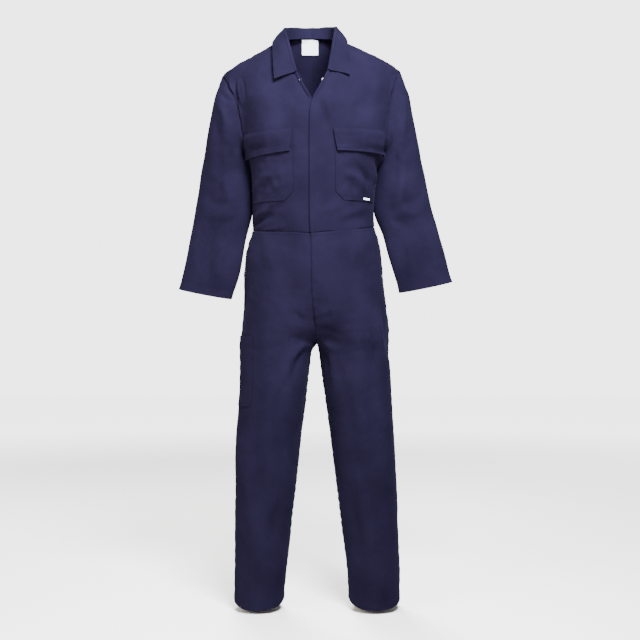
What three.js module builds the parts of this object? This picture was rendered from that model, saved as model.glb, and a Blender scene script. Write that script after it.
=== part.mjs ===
// Boiler suit filled out as it is worn, with nobody in it: every piece that is cut and sewn is a
// cloth wall of its own round the hollow trunk, sleeves and legs.
// Millimetres, +Z up. The front faces -Y and the wearer's left is at +X.
// The origin lies on the centre line at the neck, where the shoulders carry the suit.
import * as THREE from 'three';

// Cloth and seams
const CLOTH = 2; // wall of a body piece
const SEAM_GAP = 0.3; // between two pieces along a seam
const LAP_DROP = 3.5; // how far the right front lies below the left front
const LAP_EASE = { near: 8, far: 42 }; // from the lap's edge, where that drop starts and ends
const PATCH_LIFT = 1.2; // a sewn-on piece above the panel that carries it
const PATCH_CLOTH = 1.6; // wall of a sewn-on piece
const LABEL_CLOTH = 1;
const TRIM_LIFT = 0.8; // a label or stud from the cloth that carries it

// How finely the walls are stepped
const STEPS = {
  trunkRows: 5, // from the waist seam up to the underarm
  armholeRows: 12, // from the underarm up to the shoulder, on the front and on the back
  across: 12, // from a centre line out to a side seam
  sleeveRows: 13,
  trouserRows: 21,
  collarRows: 22, // from one front end of the collar round to the other
};

// A table's rows become objects with the named columns.
function named(columns, rows) {
  const names = columns.split(' ');
  return rows.map((row) => Object.fromEntries(names.map((name, i) => [name, row[i]])));
}

// Rows of a body panel run from its inner edge (centre line, front edge or neckline) to its outer
// edge (side seam or armhole). x is measured from the centre line towards that side, deep is the
// distance in front of or behind the plane of the side seams. A row leaves its inner edge at the
// angle leave and comes to its outer edge at the angle arrive, with handles reach and pull.
const FRONT = named(
  'zIn inR inL deepIn leave reach zOutR zOutL outR outL deepOut arrive pull fall', [
    [-545, -16, -2, 121, 0, 100, -531, -518, 168, 178, 0, 90, 72, 1],
    [-482, -14, -5, 128, 0, 104, -476, -474, 169, 176, 0, 90, 76, 1],
    [-424, -14, -5, 137, 0, 108, -420, -418, 171, 183, 0, 90, 82, 1],
    [-368, -14, -5, 144, 0, 112, -365, -365, 174, 188, 0, 90, 86, 1],
    [-318, -14, -5, 148, 0, 118, -313, -313, 185, 207, 0, 90, 88, 1],
    [-280, -14, -5, 149, 0, 116, -298, -298, 190, 210, 44, 75, 70, 1],
    [-245, -14, -5, 147, 0, 112, -270, -270, 193, 212, 66, 55, 62, 1],
    [-212, -12, -4, 144, 0, 108, -226, -226, 200, 213, 72, 45, 60, 1],
    [-178, -3, 3, 139, 0, 105, -178, -178, 210, 219, 68, 40, 60, 1],
    [-140, 19, 23, 131, 0, 98, -132, -130, 230, 231, 48, 42, 58, 1],
    [-97, 40, 45, 118, 0, 85, -99, -92, 247, 246, 20, 50, 56, 1],
    [-44, 62, 64, 82, 0, 65, -87, -76, 253, 252, 6, 60, 45, 1.15],
    [18, 78, 80, 0, 0, 58, -84, -70, 254, 253, 0, 0, 50, 1.15],
  ]);
const BACK = named(
  'zIn inR inL deepIn leave reach zOutR zOutL outR outL deepOut arrive pull fall', [
    [-545, 0, 0, 116, 0, 100, -531, -518, 168, 178, 0, 90, 72, 1],
    [-482, 0, 0, 115, 0, 104, -476, -474, 169, 176, 0, 90, 76, 1],
    [-420, 0, 0, 120, 0, 108, -420, -418, 171, 183, 0, 90, 82, 1],
    [-365, 0, 0, 127, 0, 112, -365, -365, 174, 188, 0, 90, 86, 1],
    [-312, 0, 0, 133, 0, 118, -313, -313, 185, 207, 0, 90, 88, 1],
    [-262, 0, 0, 137, 0, 118, -298, -298, 190, 210, 46, 75, 66, 1],
    [-212, 0, 0, 138, 0, 118, -262, -262, 199, 214, 72, 50, 56, 1],
    [-160, 0, 0, 134, 0, 116, -216, -216, 207, 216, 80, 35, 52, 1],
    [-108, 0, 0, 126, 0, 114, -167, -167, 219, 224, 75, 35, 52, 1],
    [-54, 0, 0, 114, 0, 112, -124, -120, 236, 237, 55, 40, 54, 1],
    [-4, 0, 0, 98, 0, 108, -97, -90, 249, 248, 27, 45, 54, 1.1],
    [42, 0, 0, 82, 0, 100, -88, -78, 253, 252, 10, 45, 52, 1.2],
    [36, 48, 49, 60, 0, 70, -85, -73, 254, 253, 4, 40, 45, 1.2],
    [18, 78, 80, 0, 0, 58, -84, -70, 254, 253, 0, 0, 50, 1.15],
  ]);
const UNDERARM_ROW = 4;
const V_BOTTOM_ROW = 8;

// Trousers from the waist seam down. turn swings the inner edge from the centre line, through the
// crotch curve, to the inside leg. lap is how far the right front runs on under the left one.
const TROUSERS = named(
  'zIn zOutR zOutL inR inL outR outL frontIn backIn turn reachF pullF reachB pullB lap sagF sagB', [
    [-545, -531, -518, 2, -2, 168, 178, 121, 116, 0, 100, 72, 100, 72, 18, 0, 0],
    [-586, -580, -575, 0, 0, 184, 195, 127, 127, 0, 108, 78, 108, 78, 18, 0, 0],
    [-635, -635, -632, -2, 2, 190, 200, 131, 140, 0, 112, 82, 112, 84, 18, 0, 0],
    [-690, -690, -690, -3.5, 3.5, 192, 204, 130, 143, 0, 112, 86, 112, 92, 18, 0, 0],
    [-742, -740, -740, -6, 6, 193, 212, 125, 142, 5, 112, 90, 112, 96, 14, 0, 0],
    [-783, -783, -783, -11, 11, 197, 219, 112, 130, 15, 112, 91, 112, 96, 0, 0, 0],
    [-813, -815, -815, -13, 13, 200, 222, 90, 104, 30, 112, 98, 116, 105, 0, 0, 0],
    [-835, -842, -842, -14.5, 14.5, 203, 221, 58, 70, 50, 126, 106, 132, 111, 0, 0, 0],
    [-848, -864, -864, -15.5, 15.5, 205, 220, 22, 30, 75, 138, 120, 146, 127, 0, 0, 0],
    [-853, -884, -884, -15, 17, 205, 220, 0, 0, 90, 150, 132, 160, 148, 0, 0, 0],
    [-872, -908, -908, -2, 21, 205, 222, 0, 0, 90, 147, 133, 158, 147, 0, 0, 0],
    [-941, -958, -958, 7, 30, 205, 225, 0, 0, 90, 141, 135, 153, 148, 0, 0, 0],
    [-1079, -1079, -1079, 24, 50, 211, 234, 0, 0, 90, 132, 132, 145, 146, 0, 0, 0],
    [-1217, -1217, -1217, 39, 67, 217, 242, 0, 0, 90, 125, 125, 136, 136, 0, 0, 0],
    [-1355, -1355, -1355, 56, 85, 219, 248, 0, 0, 90, 115, 115, 125, 125, 0, 0, 0],
    [-1493, -1493, -1493, 70, 102, 220, 251, 0, 0, 90, 105, 105, 110, 110, 0, 3, 0],
    [-1581, -1581, -1581, 79, 108, 221, 253, 0, 0, 90, 101, 101, 106, 106, 0, 21, 5],
  ]);
const FLY_END_ROW = 5;
const CROTCH_ROW = 9;

// Sleeve sections from the shoulder head down to the cuff. Each is an oval between its outer and
// inner silhouette points, half as deep as it is from front to back, its middle forward by ahead.
const SLEEVE_COLUMNS = 'outX outZ inX inZ half ahead';
const SLEEVE = {
  R: named(SLEEVE_COLUMNS, [
    [275, -140, 186, -320, 74, -4],
    [304, -284, 180, -332, 67, -10],
    [316, -344, 172, -382, 61, -22],
    [329, -430, 168, -462, 49, -20],
    [344, -528, 188, -557, 37, -2],
    [360, -620, 202, -646, 27, 14],
    [376, -699, 228, -727, 18, 26],
  ]),
  L: named(SLEEVE_COLUMNS, [
    [276, -132, 214, -321, 75, -4],
    [308, -288, 201, -333, 67, -10],
    [323, -350, 185, -385, 61, -22],
    [341, -442, 178, -465, 49, -20],
    [363, -525, 204, -545, 37, -2],
    [382, -606, 228, -631, 27, 14],
    [400, -678, 250, -709, 18, 26],
  ]),
};
const CUFF_BOW = 3; // the cuff's middle hangs below its two ends

// Collar stations from its front end to the centre back. The band rises from the neckline to the
// roll line, and the fall comes down from there to the collar's outer edge.
const COLLAR_COLUMNS = 'neck rollX rollY rollZ edgeX edgeY edgeZ';
const COLLAR = {
  R: named(COLLAR_COLUMNS, [
    [10, 39, -125, -99, 102, -126, -121],
    [10.6, 50, -114, -59, 105, -114, -87],
    [11.1, 61, -90, -12, 108, -86, -46],
    [11.6, 69, -48, 22, 110, -45, -12],
    [12, 74, -3, 50, 112, 0, 8],
    [12.6, 64, 40, 62, 97, 56, 24],
    [13.2, 39, 70, 71, 58, 93, 27],
    [14, 0, 86, 74, 0, 108, 26],
  ]),
  L: named(COLLAR_COLUMNS, [
    [10, 46, -125, -94, 108, -126, -109],
    [10.6, 53, -114, -52, 106, -114, -77],
    [11.1, 60, -90, -8, 103, -86, -38],
    [11.6, 64, -48, 24, 102, -45, -8],
    [12, 67, -3, 54, 102, 0, 14],
    [12.6, 62, 40, 64, 93, 56, 27],
    [13.2, 39, 70, 72, 58, 93, 28],
    [14, 0, 86, 74, 0, 108, 26],
  ]),
};
const COLLAR_SEAT = { front: 2.8, back: 0.8 }; // the band's lower edge from the neckline
const COLLAR_FOLD = 3.2; // radius of the roll
const COLLAR_RISE = 3; // the fall's belly above a straight line

// Patch pieces, as outlines on the body: x from the centre line towards the piece's side.
const CHEST_POCKET = {
  R: { inTop: 50, outTop: 172, inLow: 49, outLow: 162, top: -280, low: -455, slopeTop: -4, cut: 24 },
  L: { inTop: 65, outTop: 186, inLow: 68, outLow: 168, top: -277, low: -453, slopeTop: 2, cut: 24 },
};
const FLAP = {
  R: { topIn: [53, -260], topOut: [186, -266], lowOut: [177, -332], lowIn: [58, -321] },
  L: { topIn: [60, -259], topOut: [200, -256], lowOut: [198, -318], lowIn: [70, -320] },
};
const FLAP_STANDS_OFF = 6; // its lower edge from the pocket
const POCKET_EASE = 1.5; // the outer side of a chest pocket from the front, beyond its inner side
const RULE_POCKET = { top: -832, low: -1030, width: 92, fromSeam: 4 };
const HIP_FACING = { top: -585, low: -752, width: 12, fromSeam: 5 };
const LABEL = { width: 48, height: 43, top: 39.5, x: -5 };
const TAG = { width: 16, height: 5, x: 151, rise: 9 };
const STUD = { radius: 5.5, thick: 2.4, sides: 16 };

// The largest folds: a soft trough (negative) or ridge on one face of a piece, centred at x, z,
// running at angle from level, with its length, width and depth.
const FOLDS = named('piece face x z angle length width height', [
  ['front', 'R', 212, -170, 70, 120, 14, -4],
  ['front', 'R', 196, -190, 84, 130, 13, 3],
  ['front', 'R', 150, -510, 25, 90, 26, -5],
  ['front', 'R', 118, -400, 42, 110, 18, 3],
  ['front', 'L', 150, -392, -52, 120, 18, -4],
  ['front', 'L', 130, -415, -45, 100, 18, 3],
  ['front', 'L', 216, -180, 70, 110, 16, -3],
  ['front', 'L', 152, -500, -20, 90, 26, -4],
  ['trousers', 'R', 30, -795, 38, 90, 16, -4],
  ['trousers', 'R', 48, -850, 62, 130, 20, -4],
  ['trousers', 'R', 60, -1090, 88, 380, 34, -4],
  ['trousers', 'R', 118, -960, 89, 420, 40, 4],
  ['trousers', 'L', 52, -800, -32, 90, 16, -4],
  ['trousers', 'L', 60, -880, -68, 140, 20, -4],
  ['trousers', 'L', 196, -850, 72, 150, 26, -4],
  ['trousers', 'L', 100, -1000, -84, 360, 34, 3],
  ['sleeve', 'R', 262, -520, 64, 220, 26, -4],
  ['sleeve', 'R', 300, -480, 76, 240, 30, 3],
  ['sleeve', 'L', 276, -520, -64, 220, 26, -4],
  ['sleeve', 'L', 316, -450, -76, 240, 30, 3],
  ['back', 'R', 120, -470, 16, 170, 24, -5],
  ['back', 'L', 116, -486, -14, 180, 22, -4],
  ['back', 'R', 176, -230, 74, 170, 24, -5],
  ['back', 'L', 178, -245, -72, 160, 22, -5],
  ['seat', 'R', 60, -830, 24, 130, 22, -5],
  ['seat', 'L', 66, -842, -26, 120, 20, -5],
  ['seat', 'R', 120, -1130, 80, 320, 34, -4],
  ['seat', 'L', 128, -1180, -82, 340, 30, -4],
]);

const RIGHT = -1;
const LEFT = 1;
const FORWARD = -1;
const BEHIND = 1;
const letter = (side) => (side === LEFT ? 'L' : 'R');
const smooth = THREE.MathUtils.smoothstep;
const vector = (x, y, z) => new THREE.Vector3(x, y, z);

// The slope at a table row, from the steps before and after it, without overshoot.
function evenSlope(before, after) {
  return before * after <= 0 ? 0 : (2 * before * after) / (before + after);
}

// Every column between the rows, on a smooth curve through them.
function between(rows, t) {
  const last = rows.length - 1;
  const i = Math.min(Math.floor(t), last - 1);
  const f = t - i;
  const near = [-1, 0, 1, 2].map((k) => rows[THREE.MathUtils.clamp(i + k, 0, last)]);
  const mixed = {};
  for (const key of Object.keys(rows[0])) {
    const [a, b, c, d] = near.map((row) => row[key]);
    const slopeB = evenSlope(b - a, c - b);
    const slopeC = evenSlope(c - b, d - c);
    mixed[key] = b + f * slopeB + f * f * (3 * (c - b) - 2 * slopeB - slopeC)
      + f * f * f * (2 * (b - c) + slopeB + slopeC);
  }
  return mixed;
}

function bezier(a, b, c, d, s) {
  const r = 1 - s;
  return r * r * r * a + 3 * r * r * s * b + 3 * r * s * s * c + s * s * s * d;
}

// A point of a panel's row, with s from 0 at the inner edge to 1 at the outer edge.
function alongRow(row, s) {
  const leave = THREE.MathUtils.degToRad(row.leave);
  const arrive = THREE.MathUtils.degToRad(row.arrive);
  const x = bezier(row.in, row.in + row.reach * Math.cos(leave),
    row.out - row.pull * Math.cos(arrive), row.out, s);
  const deep = bezier(row.deepIn, row.deepIn + row.reach * Math.sin(leave),
    row.deepOut + row.pull * Math.sin(arrive), row.deepOut, s);
  const z = row.zIn + (row.zOut - row.zIn) * s ** row.fall - row.sag * 4 * s * (1 - s);
  return { x, deep, z };
}

// The four kinds of body panel give their rows in one form, at any height t along their table.
const PANELS = {
  front: { rows: FRONT, face: FORWARD },
  back: { rows: BACK, face: BEHIND },
  trousers: { rows: TROUSERS, face: FORWARD },
  seat: { rows: TROUSERS, face: BEHIND },
};

function panelRow(kind, side, t) {
  const row = between(PANELS[kind].rows, t);
  const s = letter(side);
  const common = { zIn: row.zIn, zOut: row[`zOut${s}`], out: row[`out${s}`], in: row[`in${s}`] };
  if (kind === 'front' || kind === 'back') {
    const { deepIn, leave, reach, deepOut, arrive, pull, fall } = row;
    return { ...common, deepIn, leave, reach, deepOut, arrive, pull, fall, sag: 0 };
  }
  const isFront = kind === 'trousers';
  const lap = isFront && side === RIGHT ? row.lap : 0;
  return {
    ...common,
    in: common.in - lap,
    deepIn: isFront ? row.frontIn : row.backIn,
    leave: row.turn,
    reach: isFront ? row.reachF : row.reachB,
    deepOut: 0,
    arrive: 90,
    pull: isFront ? row.pullF : row.pullB,
    fall: 1,
    sag: isFront ? row.sagF : row.sagB,
  };
}

// The right front lies below the left one beside and beyond the left one's edge.
function lapDrop(kind, side, t, x) {
  if (side !== RIGHT || (kind !== 'front' && kind !== 'trousers')) return 0;
  const row = between(PANELS[kind].rows, t);
  const past = x + row.inL;
  const beside = 1 - smooth(past, LAP_EASE.near, LAP_EASE.far);
  const open = kind === 'front'
    ? 1 - smooth(t, V_BOTTOM_ROW, V_BOTTOM_ROW + 1)
    : 1 - smooth(t, FLY_END_ROW, FLY_END_ROW + 1);
  return LAP_DROP * beside * open;
}

function foldHeight(kind, side, x, z) {
  let height = 0;
  for (const fold of FOLDS) {
    if (fold.piece !== kind || fold.face !== letter(side)) continue;
    const angle = THREE.MathUtils.degToRad(fold.angle);
    const dx = x - fold.x;
    const dz = z - fold.z;
    const along = dx * Math.cos(angle) + dz * Math.sin(angle);
    const across = -dx * Math.sin(angle) + dz * Math.cos(angle);
    const taper = Math.max(0, 1 - (2 * along / fold.length) ** 2);
    height += fold.height * taper * taper * Math.exp(-((across / fold.width) ** 2));
  }
  return height;
}

function plainPoint(kind, side, s, t) {
  const p = alongRow(panelRow(kind, side, t), s);
  return vector(side * p.x, PANELS[kind].face * p.deep, p.z);
}

// Outward normal of a panel without its folds.
function plainNormal(kind, side, s, t) {
  const step = 0.02;
  const last = PANELS[kind].rows.length - 1;
  const [s0, s1] = [Math.max(0, s - step), Math.min(1, s + step)];
  const [t0, t1] = [Math.max(0, t - step), Math.min(last, t + step)];
  const outward = plainPoint(kind, side, s1, t).sub(plainPoint(kind, side, s0, t));
  const upward = plainPoint(kind, side, s, t1).sub(plainPoint(kind, side, s, t0));
  const normal = outward.cross(upward).normalize();
  const rowsGoUp = kind === 'front' || kind === 'back' ? 1 : -1;
  return normal.multiplyScalar(-side * PANELS[kind].face * rowsGoUp);
}

// A finished point of a panel. Folds fade out at its edges, so that seams still meet.
function panelPoint(kind, side, s, t) {
  const point = plainPoint(kind, side, s, t);
  const x = side * point.x;
  const last = PANELS[kind].rows.length - 1;
  const edge = smooth(s, 0, 0.08) * smooth(1 - s, 0, 0.08) * smooth(t, 0, 0.4)
    * smooth(last - t, 0, 0.4);
  const lift = edge * foldHeight(kind, side, x, point.z) - lapDrop(kind, side, t, x);
  return lift === 0 ? point : point.addScaledVector(plainNormal(kind, side, s, t), lift);
}

// Finds the place on a panel that is seen at x (towards the side) and z.
function placeOn(kind, side, x, z) {
  const last = PANELS[kind].rows.length - 1;
  let best = { s: 0, t: 0, miss: Infinity };
  const looks = 24;
  for (let i = 0; i <= looks; i += 1) {
    for (let j = 0; j <= looks; j += 1) {
      const [s, t] = [i / looks, (j / looks) * last];
      const p = plainPoint(kind, side, s, t);
      const miss = (side * p.x - x) ** 2 + (p.z - z) ** 2;
      if (miss < best.miss) best = { s, t, miss };
    }
  }
  const step = 1e-3;
  let { s, t } = best;
  for (let round = 0; round < 20; round += 1) {
    const p = plainPoint(kind, side, s, t);
    const [ex, ez] = [x - side * p.x, z - p.z];
    const miss = ex * ex + ez * ez;
    if (miss <= best.miss) best = { s, t, miss };
    const ps = plainPoint(kind, side, s + step, t).sub(p).divideScalar(step);
    const pt = plainPoint(kind, side, s, t + step).sub(p).divideScalar(step);
    const det = side * (ps.x * pt.z - pt.x * ps.z);
    const ds = (ex * pt.z - ez * side * pt.x) / det;
    const dt = (ez * side * ps.x - ex * ps.z) / det;
    const most = 0.05;
    s = THREE.MathUtils.clamp(s + THREE.MathUtils.clamp(ds, -most, most), 0, 1 - step);
    t = THREE.MathUtils.clamp(t + THREE.MathUtils.clamp(dt, -most * 4, most * 4), 0, last - step);
  }
  return best;
}

// The point of a panel's flat triangles at s, t, on which the pieces sewn on it lie.
function facetPoint(kind, side, s, t) {
  const steps = kind === 'front' || kind === 'back' ? bodiceSteps(kind) : trouserSteps();
  const i = Math.max(0, steps.findLastIndex((step) => step <= t && step < steps.at(-1)));
  const j = Math.min(STEPS.across - 1, Math.floor(s * STEPS.across));
  const v = (t - steps[i]) / (steps[i + 1] - steps[i]);
  const u = s * STEPS.across - j;
  const corner = (di, dj) => panelPoint(kind, side, (j + dj) / STEPS.across, steps[i + di]);
  const near = u + v <= 1;
  const point = near ? corner(0, 0) : corner(1, 1);
  const [alongU, alongV] = near
    ? [corner(0, 1).sub(point), corner(1, 0).sub(point)]
    : [corner(1, 0).sub(point), corner(0, 1).sub(point)];
  return point.addScaledVector(alongU, near ? u : 1 - u).addScaledVector(alongV, near ? v : 1 - v);
}

// A panel's point seen at x, z, moved out of its surface by lift.
function liftedPoint(kind, side, x, z, lift) {
  const { s, t } = placeOn(kind, side, x, z);
  const point = facetPoint(kind, side, s, t);
  return point.addScaledVector(plainNormal(kind, side, s, t), lift);
}

// A sheet is a list of points and of triangles that face out of the garment.
function gridSheet(rows, columns, at, core) {
  const sheet = { points: [], faces: [] };
  for (let i = 0; i <= rows; i += 1) {
    for (let j = 0; j <= columns; j += 1) sheet.points.push(at(i, j));
  }
  const index = (i, j) => i * (columns + 1) + j;
  for (let i = 0; i < rows; i += 1) {
    for (let j = 0; j < columns; j += 1) {
      sheet.faces.push([index(i, j), index(i, j + 1), index(i + 1, j)]);
      sheet.faces.push([index(i, j + 1), index(i + 1, j + 1), index(i + 1, j)]);
    }
  }
  return faced(welded(sheet), core);
}

// Points that fall together become one, and triangles that shrink to nothing go.
function welded(sheet) {
  const found = new Map();
  const points = [];
  const target = sheet.points.map((p) => {
    const key = [p.x, p.y, p.z].map((v) => Math.round(v * 100)).join(' ');
    if (!found.has(key)) {
      found.set(key, points.length);
      points.push(p);
    }
    return found.get(key);
  });
  const faces = sheet.faces.map((face) => face.map((i) => target[i]))
    .filter(([a, b, c]) => a !== b && b !== c && c !== a);
  return { points, faces };
}

function joined(sheets) {
  const all = { points: [], faces: [] };
  for (const sheet of sheets) {
    const start = all.points.length;
    all.points.push(...sheet.points);
    all.faces.push(...sheet.faces.map((face) => face.map((i) => i + start)));
  }
  return welded(all);
}

function faceNormal(points, [a, b, c]) {
  return points[b].clone().sub(points[a]).cross(points[c].clone().sub(points[a]));
}

// Turns a sheet so that its triangles face away from the point core(point) inside the garment.
function faced(sheet, core) {
  let out = 0;
  for (const face of sheet.faces) {
    const middle = vector(0, 0, 0);
    face.forEach((i) => middle.addScaledVector(sheet.points[i], 1 / 3));
    out += faceNormal(sheet.points, face).dot(middle.clone().sub(core(middle)));
  }
  if (out < 0) sheet.faces.forEach((face) => face.reverse());
  return sheet;
}

function vertexNormals(sheet) {
  const normals = sheet.points.map(() => vector(0, 0, 0));
  for (const face of sheet.faces) {
    const n = faceNormal(sheet.points, face);
    face.forEach((i) => normals[i].add(n));
  }
  return normals.map((n) => n.normalize());
}

// The edges that only one triangle uses, in that triangle's direction.
function borderOf(sheet) {
  const edges = new Map();
  for (const [a, b, c] of sheet.faces) {
    for (const [p, q] of [[a, b], [b, c], [c, a]]) {
      const back = `${q} ${p}`;
      if (edges.has(back)) edges.delete(back);
      else edges.set(`${p} ${q}`, [p, q]);
    }
  }
  return [...edges.values()];
}

// Where two pieces meet at a seam, both walls are cut on the line that halves their corner.
function shareSeams(sheets) {
  for (const sheet of sheets) {
    sheet.normals = vertexNormals(sheet);
    sheet.border = borderOf(sheet);
    sheet.edge = [...new Set(sheet.border.map(([p]) => p))];
  }
  const reach = 0.5;
  const shared = sheets.map((sheet) => sheet.edge.map((i) => {
    const own = sheet.normals[i];
    const sum = own.clone();
    for (const other of sheets) {
      if (other === sheet) continue;
      for (const k of other.edge) {
        const near = other.points[k].distanceTo(sheet.points[i]) < reach;
        if (near && other.normals[k].dot(own) > 0.1) sum.add(other.normals[k]);
      }
    }
    sum.normalize();
    return sum.divideScalar(Math.max(0.75, sum.dot(own)));
  }));
  sheets.forEach((sheet, n) => sheet.edge.forEach((i, k) => {
    sheet.normals[i] = shared[n][k];
  }));
}

// Draws a sheet's border in by half a seam gap, along the sheet.
function drawIn(sheet, amount) {
  const moves = new Map(sheet.edge.map((i) => [i, []]));
  const faceOf = new Map();
  for (const face of sheet.faces) {
    const [a, b, c] = face;
    for (const [p, q] of [[a, b], [b, c], [c, a]]) faceOf.set(`${p} ${q}`, face);
  }
  for (const [p, q] of sheet.border) {
    const n = faceNormal(sheet.points, faceOf.get(`${p} ${q}`)).normalize();
    const inward = n.cross(sheet.points[q].clone().sub(sheet.points[p])).normalize();
    moves.get(p).push(inward);
    moves.get(q).push(inward);
  }
  for (const [i, [first, second]] of moves) {
    const sum = first.clone().add(second);
    sheet.points[i].addScaledVector(sum, amount / Math.max(0.5, 1 + first.dot(second)));
  }
}

// Closes a sheet into a wall: its points outside, the same points moved in by the cloth inside.
function wall(sheet, cloth) {
  const count = sheet.points.length;
  const inner = sheet.points.map((p, i) => p.clone().addScaledVector(sheet.normals[i], -cloth));
  const positions = [...sheet.points, ...inner].flatMap((p) => [p.x, p.y, p.z]);
  const index = sheet.faces.flatMap(([a, b, c]) => [a, b, c, c + count, b + count, a + count]);
  for (const [p, q] of sheet.border) {
    index.push(q, p, p + count, q, p + count, q + count);
  }
  const geometry = new THREE.BufferGeometry();
  geometry.setAttribute('position', new THREE.Float32BufferAttribute(positions, 3));
  geometry.setIndex(index);
  geometry.computeVertexNormals();
  return geometry;
}

const trunkCore = (p) => vector(0, 0, p.z - 40);
const legCore = (side) => (p) => {
  const apart = smooth(-p.z, 700, 900);
  return vector(side * apart * 130 + 8, 0, p.z);
};

// Heights along a bodice table at which its panel has rows: close together round the armhole.
function bodiceSteps(kind) {
  const last = PANELS[kind].rows.length - 1;
  const low = Array.from({ length: STEPS.trunkRows }, (_, i) => (UNDERARM_ROW * i) / STEPS.trunkRows);
  const high = Array.from({ length: STEPS.armholeRows + 1 }, (_, i) => (
    UNDERARM_ROW + ((last - UNDERARM_ROW) * i) / STEPS.armholeRows));
  return [...low, ...high];
}

function bodicePanel(kind, side) {
  const steps = bodiceSteps(kind);
  return gridSheet(steps.length - 1, STEPS.across,
    (i, j) => panelPoint(kind, side, j / STEPS.across, steps[i]), trunkCore);
}

// Rows of the trousers crowd at the crotch curve.
function trouserSteps() {
  const last = TROUSERS.length - 1;
  const steps = Array.from({ length: STEPS.trouserRows + 1 }, (_, i) => (last * i) / STEPS.trouserRows);
  const nearest = steps.reduce((best, t, i) => (
    Math.abs(t - CROTCH_ROW) < Math.abs(steps[best] - CROTCH_ROW) ? i : best), 0);
  steps[nearest] = CROTCH_ROW;
  return steps;
}

function trouserPanel(kind, side) {
  const steps = trouserSteps();
  return gridSheet(steps.length - 1, STEPS.across,
    (i, j) => panelPoint(kind, side, j / STEPS.across, steps[i]), legCore(side));
}

// The armhole as a ring of points: from the underarm up the front and down the back.
function armhole(side) {
  const edge = (kind) => bodiceSteps(kind).slice(STEPS.trunkRows)
    .map((t) => plainPoint(kind, side, 1, t));
  return [...edge('front'), ...edge('back').reverse().slice(1, -1)];
}

// Each ring point's angle round the sleeve, by its share of the armhole's front or back length.
function ringAngles(ring) {
  const half = STEPS.armholeRows;
  const lengths = ring.map((p, i) => p.distanceTo(ring[(i + 1) % ring.length]));
  const front = lengths.slice(0, half).reduce((a, b) => a + b, 0);
  const back = lengths.slice(half).reduce((a, b) => a + b, 0);
  let angle = 0;
  return ring.map((_, i) => {
    const now = angle;
    angle += (Math.PI * lengths[i]) / (i < half ? front : back);
    return now;
  });
}

// An oval section of the sleeve at station t of its table.
function sleeveOval(side, t, angle) {
  const row = between(SLEEVE[letter(side)], t);
  const middle = vector((row.outX + row.inX) / 2, -row.ahead, (row.outZ + row.inZ) / 2);
  const inward = vector((row.inX - row.outX) / 2, 0, (row.inZ - row.outZ) / 2);
  const cuff = SLEEVE[letter(side)].length - 1;
  const point = middle.addScaledVector(inward, Math.cos(angle));
  point.y -= row.half * Math.sin(angle);
  point.z -= CUFF_BOW * smooth(t, cuff - 1, cuff) * Math.max(0, Math.sin(angle));
  return point;
}

// The sleeve leaves the armhole and takes up the ovals, along a smooth curve at every angle.
function sleeveSheet(side) {
  const ring = armhole(side);
  const angles = ringAngles(ring);
  const stations = SLEEVE[letter(side)].length;
  const count = ring.length;
  const sheet = { points: [], faces: [] };
  for (let i = 0; i <= STEPS.sleeveRows; i += 1) {
    const t = (i / STEPS.sleeveRows) * stations;
    for (let j = 0; j < count; j += 1) {
      const knots = Array.from({ length: stations + 1 }, (_, k) => {
        const p = k === 0 ? vector(side * ring[j].x, ring[j].y, ring[j].z)
          : sleeveOval(side, k - 1, angles[j]);
        return { x: p.x, y: p.y, z: p.z };
      });
      const p = between(knots, t);
      const turn = Math.sin(angles[j]);
      const fold = foldHeight('sleeve', side, p.x, p.z) * Math.abs(turn) * turn ** 2;
      const edge = smooth(t, 0, 0.6) * smooth(stations - t, 0, 0.6);
      sheet.points.push(vector(side * p.x, p.y - Math.sign(turn) * fold * edge, p.z));
    }
  }
  for (let i = 0; i < STEPS.sleeveRows; i += 1) {
    for (let j = 0; j < count; j += 1) {
      const next = (j + 1) % count;
      const [a, b] = [i * count + j, i * count + next];
      sheet.faces.push([a, b, a + count], [b, b + count, a + count]);
    }
  }
  const rows = SLEEVE[letter(side)];
  const core = (p) => {
    const down = THREE.MathUtils.clamp((-p.z - 200) / 500, 0, 1);
    const row = between(rows, down * (rows.length - 1));
    return vector((side * (row.outX + row.inX)) / 2, -row.ahead, p.z);
  };
  return faced(sheet, core);
}

// The neckline, from the front edge at the front table's row 10 to the centre back, lifted a little.
function neckline(side, at) {
  const shoulder = FRONT.length - 1;
  const onFront = at <= shoulder;
  const kind = onFront ? 'front' : 'back';
  const t = onFront ? at : BACK.length - 1 - (at - shoulder);
  const lift = onFront
    ? THREE.MathUtils.mapLinear(at, shoulder - 2, shoulder, COLLAR_SEAT.front, COLLAR_SEAT.back)
    : COLLAR_SEAT.back;
  return plainPoint(kind, side, 0, t).addScaledVector(plainNormal(kind, side, 0, t), lift);
}

// Band, roll and fall of the collar at one station, as points from the neckline to the edge.
function collarSection(side, t) {
  const row = between(COLLAR[letter(side)], t);
  const neck = neckline(side, row.neck);
  const roll = vector(side * row.rollX, row.rollY, row.rollZ);
  const edge = vector(side * row.edgeX, row.edgeY, row.edgeZ);
  const away = edge.clone().sub(roll);
  const out = away.clone().setZ(0).normalize();
  const fold = Math.min(COLLAR_FOLD, 0.3 * roll.distanceTo(neck) + 1.2);
  const over = roll.clone().addScaledVector(out, 2 * fold);
  const points = [neck, neck.clone().lerp(roll, 0.5), roll.clone().setZ(roll.z - fold)];
  for (const turn of [0.3, 0.7]) {
    const angle = Math.PI * turn;
    const p = roll.clone().lerp(over, 0.5);
    p.addScaledVector(out, -fold * Math.cos(angle));
    p.z += fold * Math.sin(angle) - fold;
    points.push(p);
  }
  const start = over.clone().setZ(over.z - fold);
  for (const f of [0, 0.35, 0.7, 1]) {
    const p = start.clone().lerp(edge, f);
    p.addScaledVector(out, COLLAR_RISE * 4 * f * (1 - f));
    points.push(p);
  }
  return points;
}

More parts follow.
